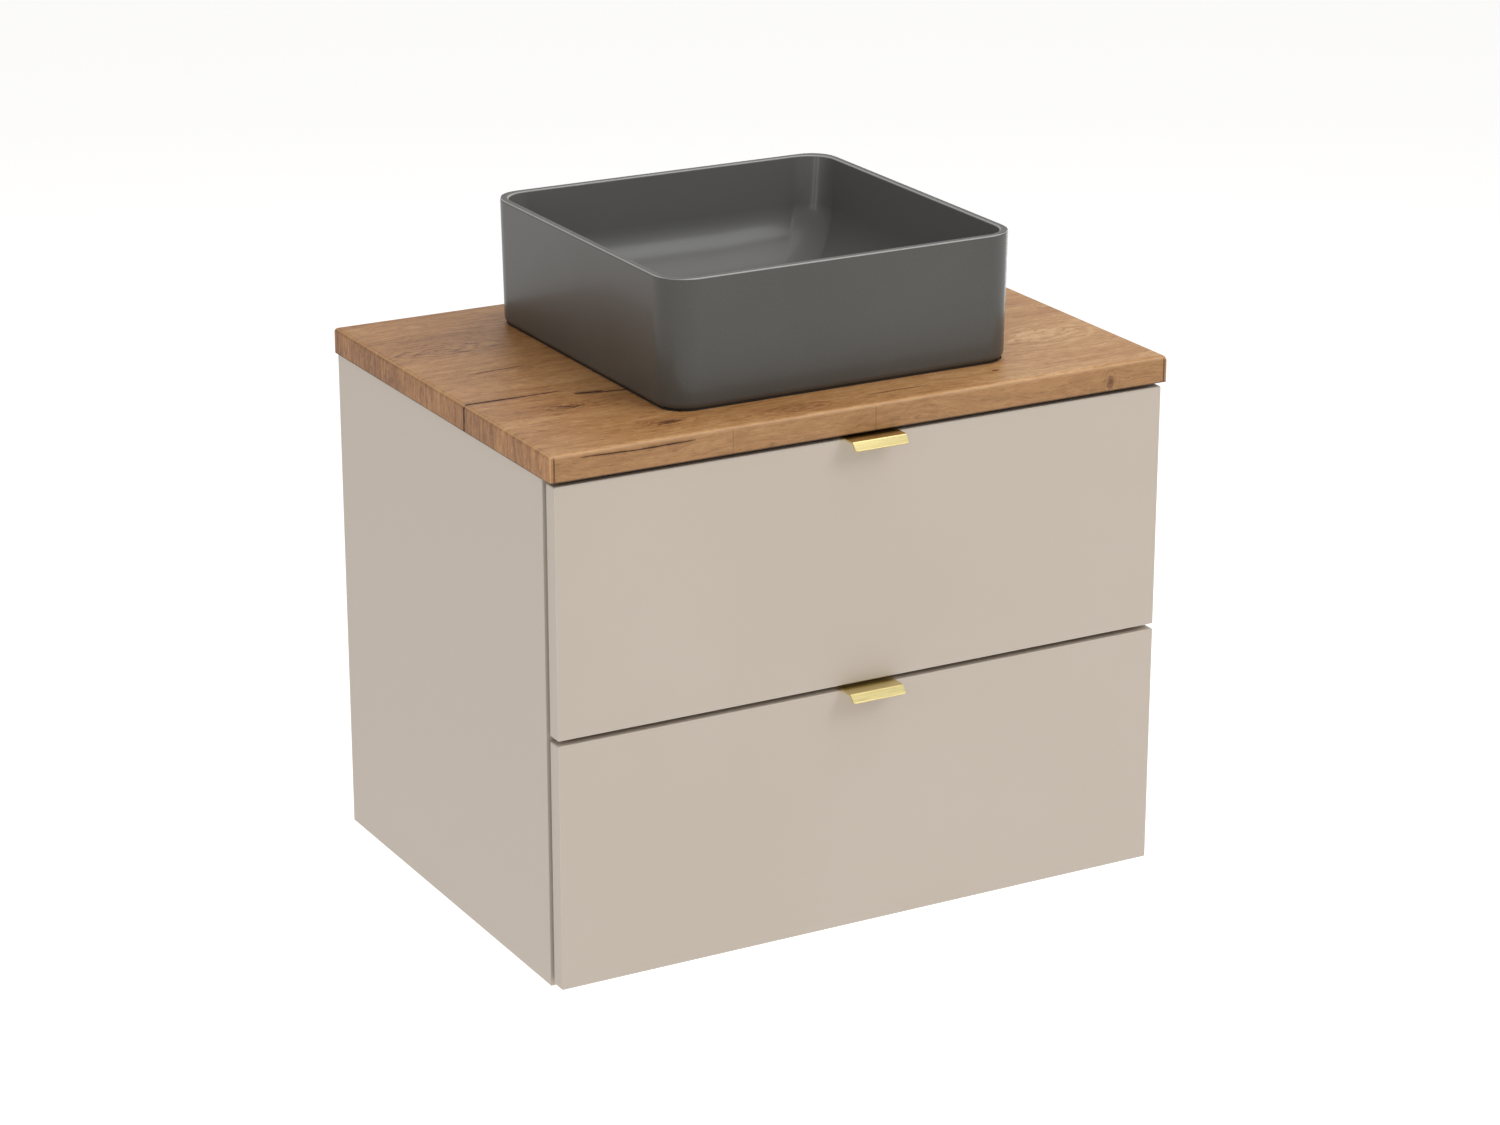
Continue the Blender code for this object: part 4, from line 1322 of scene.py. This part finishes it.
def make_trap_recess():
    """U of boards that leaves room for the trap, and the notch for it in the drawer's floor."""
    bay_low, bay_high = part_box("upper_trap_bay")
    base_low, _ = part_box("upper_base")
    inner_low = (bay_low.x + RECESS_WALL, bay_low.y + RECESS_WALL, base_low.z - 0.01)
    inner_high = (bay_high.x - RECESS_WALL, bay_high.y + 0.01, bay_high.z + 0.01)
    base = node_panel("upper_box_floor", "upper_base", "drawer_board", "upper_drawer", DRAWER_FLOOR_EASE, 2)
    base.modifiers.clear()
    cut_with(base, [box_bm(inner_low, inner_high)])
    shade(base)
    bay = piece("upper_trap_recess", box_bm(bay_low, bay_high), "drawer_board", "upper_drawer",
                ["upper_trap_bay"])
    hollow = box_bm(inner_low, inner_high)
    ease(hollow, 0.006, 5, upright_edges(hollow))
    cut_with(bay, [hollow])
    round_edges(bay, DRAWER_EASE, 2, 50)
    shade(bay)


def member_path(low, high, opens, lip):
    """Rolled C section in X and Z: web, two flanges and small lips; opens is the side it opens to."""
    web = low.x if opens > 0 else high.x
    far = high.x if opens > 0 else low.x
    path = [(far, low.z), (web, low.z), (web, high.z), (far, high.z)]
    if lip:
        path = [(far, low.z + lip)] + path + [(far, high.z - lip)]
    return path


MEMBER_SHEET = 0.0012
MEMBER_LIP = 0.0018
MEMBER_BEND = 0.0016


def make_member(name, node, body, opens, lip=0.0):
    low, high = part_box(node)
    path = eased_outline(member_path(low, high, opens, lip), MEMBER_BEND, 3, closed=False)
    bm = strip_bm([(x, low.y, z) for x, z in path], (0, high.y - low.y, 0))
    member = piece(name, bm, "zinc_steel", body, [node])
    sheet = member.modifiers.new("sheet", "SOLIDIFY")
    sheet.thickness = MEMBER_SHEET
    sheet.use_even_offset = True
    sheet.offset = 1.0 if opens > 0 else -1.0
    shade(member)


def make_runners():
    for word in DRAWERS:
        for side_word, side in SIDES.items():
            tag = f"{word}_{{}}_rail_{side_word}"
            node = f"{word}_runner_{{}}_{side_word}"
            make_member(tag.format("cabinet"), node.format("fixed"), "cabinet", -side, MEMBER_LIP)
            make_member(tag.format("middle"), node.format("middle"), word + "_runner", -side)
            make_member(tag.format("drawer"), node.format("drawer"), word + "_drawer", side)
            make_ball_rows(word, side_word)


BALLS_IN_ROW = 10
BALL_PITCH = 0.0125
FIRST_BALL = 0.060


def make_ball_rows(word, side_word):
    """Rows of balls that run between the fixed, middle and drawer members."""
    fixed_low, fixed_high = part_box(f"{word}_runner_fixed_{side_word}")
    low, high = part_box(f"{word}_runner_middle_{side_word}")
    inner_low, inner_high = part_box(f"{word}_runner_drawer_{side_word}")
    x = (low.x + high.x) / 2
    rows = [(high.z + fixed_high.z - MEMBER_SHEET) / 2, (low.z + fixed_low.z + MEMBER_SHEET) / 2,
            (high.z - MEMBER_SHEET + inner_high.z) / 2, (low.z + MEMBER_SHEET + inner_low.z) / 2]
    radius = (fixed_high.z - MEMBER_SHEET - high.z) / 2 - 0.0001
    shapes = []
    for z in rows:
        for step in range(BALLS_IN_ROW):
            ball = bmesh.new()
            bmesh.ops.create_icosphere(ball, subdivisions=2, radius=radius)
            place = (x, low.y + FIRST_BALL + step * BALL_PITCH, z)
            bmesh.ops.translate(ball, vec=place, verts=ball.verts)
            shapes.append(ball)
    balls = piece(f"{word}_runner_balls_{side_word}", merge_bms(shapes), "zinc_steel", word + "_runner")
    shade(balls, weighted=False)


# ---------------------------------------------------------------- waste, trap and hangers


def axis_place():
    """Foot of the upright line that the waste and the trap are turned about."""
    low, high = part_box("waste_body")
    middle = (low + high) / 2
    return middle.x, middle.y, 0.0


def turned_piece(name, profile, finish, body, node, closed=True):
    """Piece turned about the waste's line from a profile of (radius, height) points."""
    shape = turned_bm(profile, axis_place(), 72, closed)
    return shade(piece(name, shape, finish, body, [node]), weighted=False)


def make_waste():
    low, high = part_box("waste_body")
    flange = 0.0025
    outline = [(0.0318, high.z - 0.0008), (0.0318, high.z - flange), (0.0205, high.z - flange),
               (0.0205, low.z), (0.0175, low.z), (0.0175, high.z - 0.0018), (0.0195, high.z)]
    turned_piece("waste_flange_tail", eased_outline(outline, 0.0006, 3), "chrome_plate", "cabinet",
                 "waste_body")
    low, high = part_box("waste_plug")
    crown = [(0.0, high.z), (0.012, high.z - 0.0003), (0.020, high.z - 0.0011), (0.026, high.z - 0.0025),
             (0.0292, high.z - 0.0045), (0.0295, high.z - 0.0055), (0.0286, high.z - 0.0060),
             (0.0240, high.z - 0.0050), (0.0060, high.z - 0.0050), (0.0060, low.z), (0.0, low.z)]
    turned_piece("waste_plug_cap", crown, "chrome_plate", "plug", "waste_plug", closed=False)
    low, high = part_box("waste_nut")
    hexagon = round_bar(0.030, low.z, high.z, axis_place(), 6)
    ease(hexagon, 0.0006, 2)
    nut = piece("waste_back_nut", hexagon, "zinc_steel", "cabinet", ["waste_nut"])
    cut_with(nut, [round_bar(0.0209, low.z - 0.01, high.z + 0.01, axis_place(), 48)])
    shade(nut)


PIPE_RADIUS = 0.016
PIPE_BORE = 0.014
# How far the grip ribs stand out of a nut or cup
RIB_HEIGHT = 0.0016


def grip_ribs(count, radius, low, high):
    """Upright ribs round a turned wall, from one height to another."""
    place = axis_place()
    ribs = []
    for step in range(count):
        rib = box_bm((radius - 0.0008, -0.0014, low), (radius + RIB_HEIGHT - 0.0001, 0.0014, high))
        ease(rib, 0.0004, 2)
        turn = Matrix.Rotation(math.tau * step / count, 3, "Z")
        bmesh.ops.rotate(rib, cent=(0, 0, 0), matrix=turn, verts=rib.verts)
        bmesh.ops.translate(rib, vec=place, verts=rib.verts)
        ribs.append(rib)
    return ribs


def make_trap():
    low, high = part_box("trap_inlet_tube")
    outline = [(0.0200, high.z), (0.0200, high.z - 0.003), (PIPE_RADIUS, high.z - 0.003),
               (PIPE_RADIUS, low.z), (PIPE_BORE, low.z), (PIPE_BORE, high.z)]
    shade(piece("trap_inlet", turned_bm(eased_outline(outline, 0.0005, 3), axis_place()),
                "white_plastic", "cabinet", ["trap_inlet_tube"]), weighted=False)
    make_coupling_nut()
    make_bottle()
    make_cup()
    low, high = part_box("trap_outlet_tube")
    middle = (low + high) / 2
    length = high.y - low.y
    outline = [(PIPE_RADIUS, 0.0), (PIPE_RADIUS, length), (PIPE_BORE, length), (PIPE_BORE, 0.0)]
    tube = turned_bm(eased_outline(outline, 0.0005, 3), (middle.x, low.y, middle.z), turn=TO_BACK)
    shade(piece("trap_outlet", tube, "white_plastic", "cabinet", ["trap_outlet_tube"]), weighted=False)


def make_coupling_nut():
    """Turned ring with grip ribs round it, as wide as its node."""
    low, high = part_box("trap_nut")
    wall = (high.x - low.x) / 2 - RIB_HEIGHT
    bore = 0.0210
    outline = [(wall, high.z - 0.002), (wall, low.z + 0.001), (bore, low.z + 0.0002), (bore, high.z)]
    ring = turned_bm(eased_outline(outline, 0.0008, 3), axis_place(), 72)
    ribs = grip_ribs(18, wall, low.z + 0.002, high.z - 0.003)
    shade(piece("trap_coupling_nut", merge_bms([ring] + ribs), "white_plastic", "cabinet", ["trap_nut"]),
          weighted=False)


def make_bottle():
    """Trap body: a bottle with a bead round it and a boss for the outlet."""
    x, y, _ = axis_place()
    low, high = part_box("trap_body")
    outlet_low, outlet_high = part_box("trap_outlet_tube")
    outlet_place = (x, y, (outlet_low.z + outlet_high.z) / 2)
    radius = (high.x - low.x) / 2
    neck = 0.0164
    outline = [(0.0215, high.z), (0.0215, high.z - 0.010), (radius - 0.004, high.z - 0.011),
               (radius, high.z - 0.016), (radius, high.z - 0.060), (radius + 0.0008, high.z - 0.061),
               (radius + 0.0008, high.z - 0.064), (radius, high.z - 0.065), (radius, low.z),
               (radius - 0.0025, low.z), (radius - 0.0025, high.z - 0.016), (neck, high.z - 0.013),
               (neck, high.z)]
    bottle = piece("trap_bottle", turned_bm(eased_outline(outline, 0.0010, 3), (x, y, 0), 72),
                   "white_plastic", "cabinet", ["trap_body"])
    start = radius - 0.006
    reach = high.y - y
    boss = turned_bm([(0.0, start), (0.0170, start), (0.0170, reach - 0.014), (0.0195, reach - 0.013),
                      (0.0195, reach), (0.0, reach)], outlet_place, 64, False, TO_BACK)
    cut_with(bottle, [boss], "UNION")
    cut_with(bottle, [round_bar(0.0163, 0.018, reach + 0.01, outlet_place, turn=TO_BACK)])
    shade(bottle)


def make_cup():
    """Clean-out cup that screws on under the bottle, with grip ribs."""
    low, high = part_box("trap_cup")
    radius = (high.x - low.x) / 2 - RIB_HEIGHT
    wall = 0.0026
    bore = 0.0325
    outline = [(0.0, low.z + wall), (radius - 0.011, low.z + wall), (radius - 0.006, low.z + 0.008),
               (bore, low.z + 0.024), (bore, high.z), (radius, high.z), (radius, high.z - 0.018),
               (radius - 0.003, low.z + 0.006), (radius - 0.010, low.z), (0.0, low.z)]
    cup = turned_bm(eased_outline(outline, 0.0012, 3, closed=False), axis_place(), 72, closed=False)
    ribs = grip_ribs(20, radius, high.z - 0.0155, high.z - 0.002)
    shade(piece("trap_clean_out_cup", merge_bms([cup] + ribs), "white_plastic", "cabinet", ["trap_cup"]),
          weighted=False)


HANGER_REAR = -0.0163
HOOK_TOP = 0.013
HOOK_LOW = 0.004
HOOK_TIP = -0.012
HANGER_SCREW_HEIGHTS = (-0.016, 0.016)


def make_hangers():
    """Hanger case, its two adjusting screws and its steel hook."""
    for word, side in SIDES.items():
        low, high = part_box("hanger_" + word)
        case = box_bm(low, (high.x, HANGER_REAR, high.z))
        ease(case, 0.0012, 3)
        shade(piece("hanger_case_" + word, case, "white_plastic", "cabinet", ["hanger_" + word]))
        outer = high.x if side > 0 else low.x
        xs = sorted((outer - side * 0.012, outer - side * 0.004))
        tongue = box_bm((xs[0], HANGER_REAR - 0.002, HOOK_LOW), (xs[1], high.y, HOOK_TOP))
        hook = piece("hanger_hook_" + word, tongue, "zinc_steel", "cabinet")
        cut_with(hook, [box_bm((xs[0], high.y - 0.004, HOOK_TIP), (xs[1], high.y, 0.010))], "UNION")
        round_edges(hook, 0.0005, 2)
        shade(hook)
        middle = (low.x + high.x) / 2
        screws = [screw_shapes((middle, low.y + 0.0002, z), TO_FRONT, 0.0045, 0.002)
                  for z in HANGER_SCREW_HEIGHTS]
        shade(piece("hanger_screws_" + word, merge_bms(screws), "zinc_steel", "cabinet"), weighted=False)


def dress_remaining_nodes():
    """CAD solids that keep their own shape get the finish of their record slot."""
    slots = {part["node"]: part["material_slot"] for part in frame["record"]["subparts"]}
    for name, obj in frame["nodes"].items():
        for index in range(len(obj.material_slots)):
            obj.material_slots[index].material = FINISH[slots[name]]


make_camera()
make_room()
make_floor()
make_carcass()
make_fronts()
make_worktop()
make_basin()
make_sealant()
for drawer_word in DRAWERS:
    make_handle(drawer_word)
make_top_brackets()
make_front_brackets()
make_drawer_boxes()
make_runners()
make_waste()
make_trap()
make_hangers()
dress_remaining_nodes()
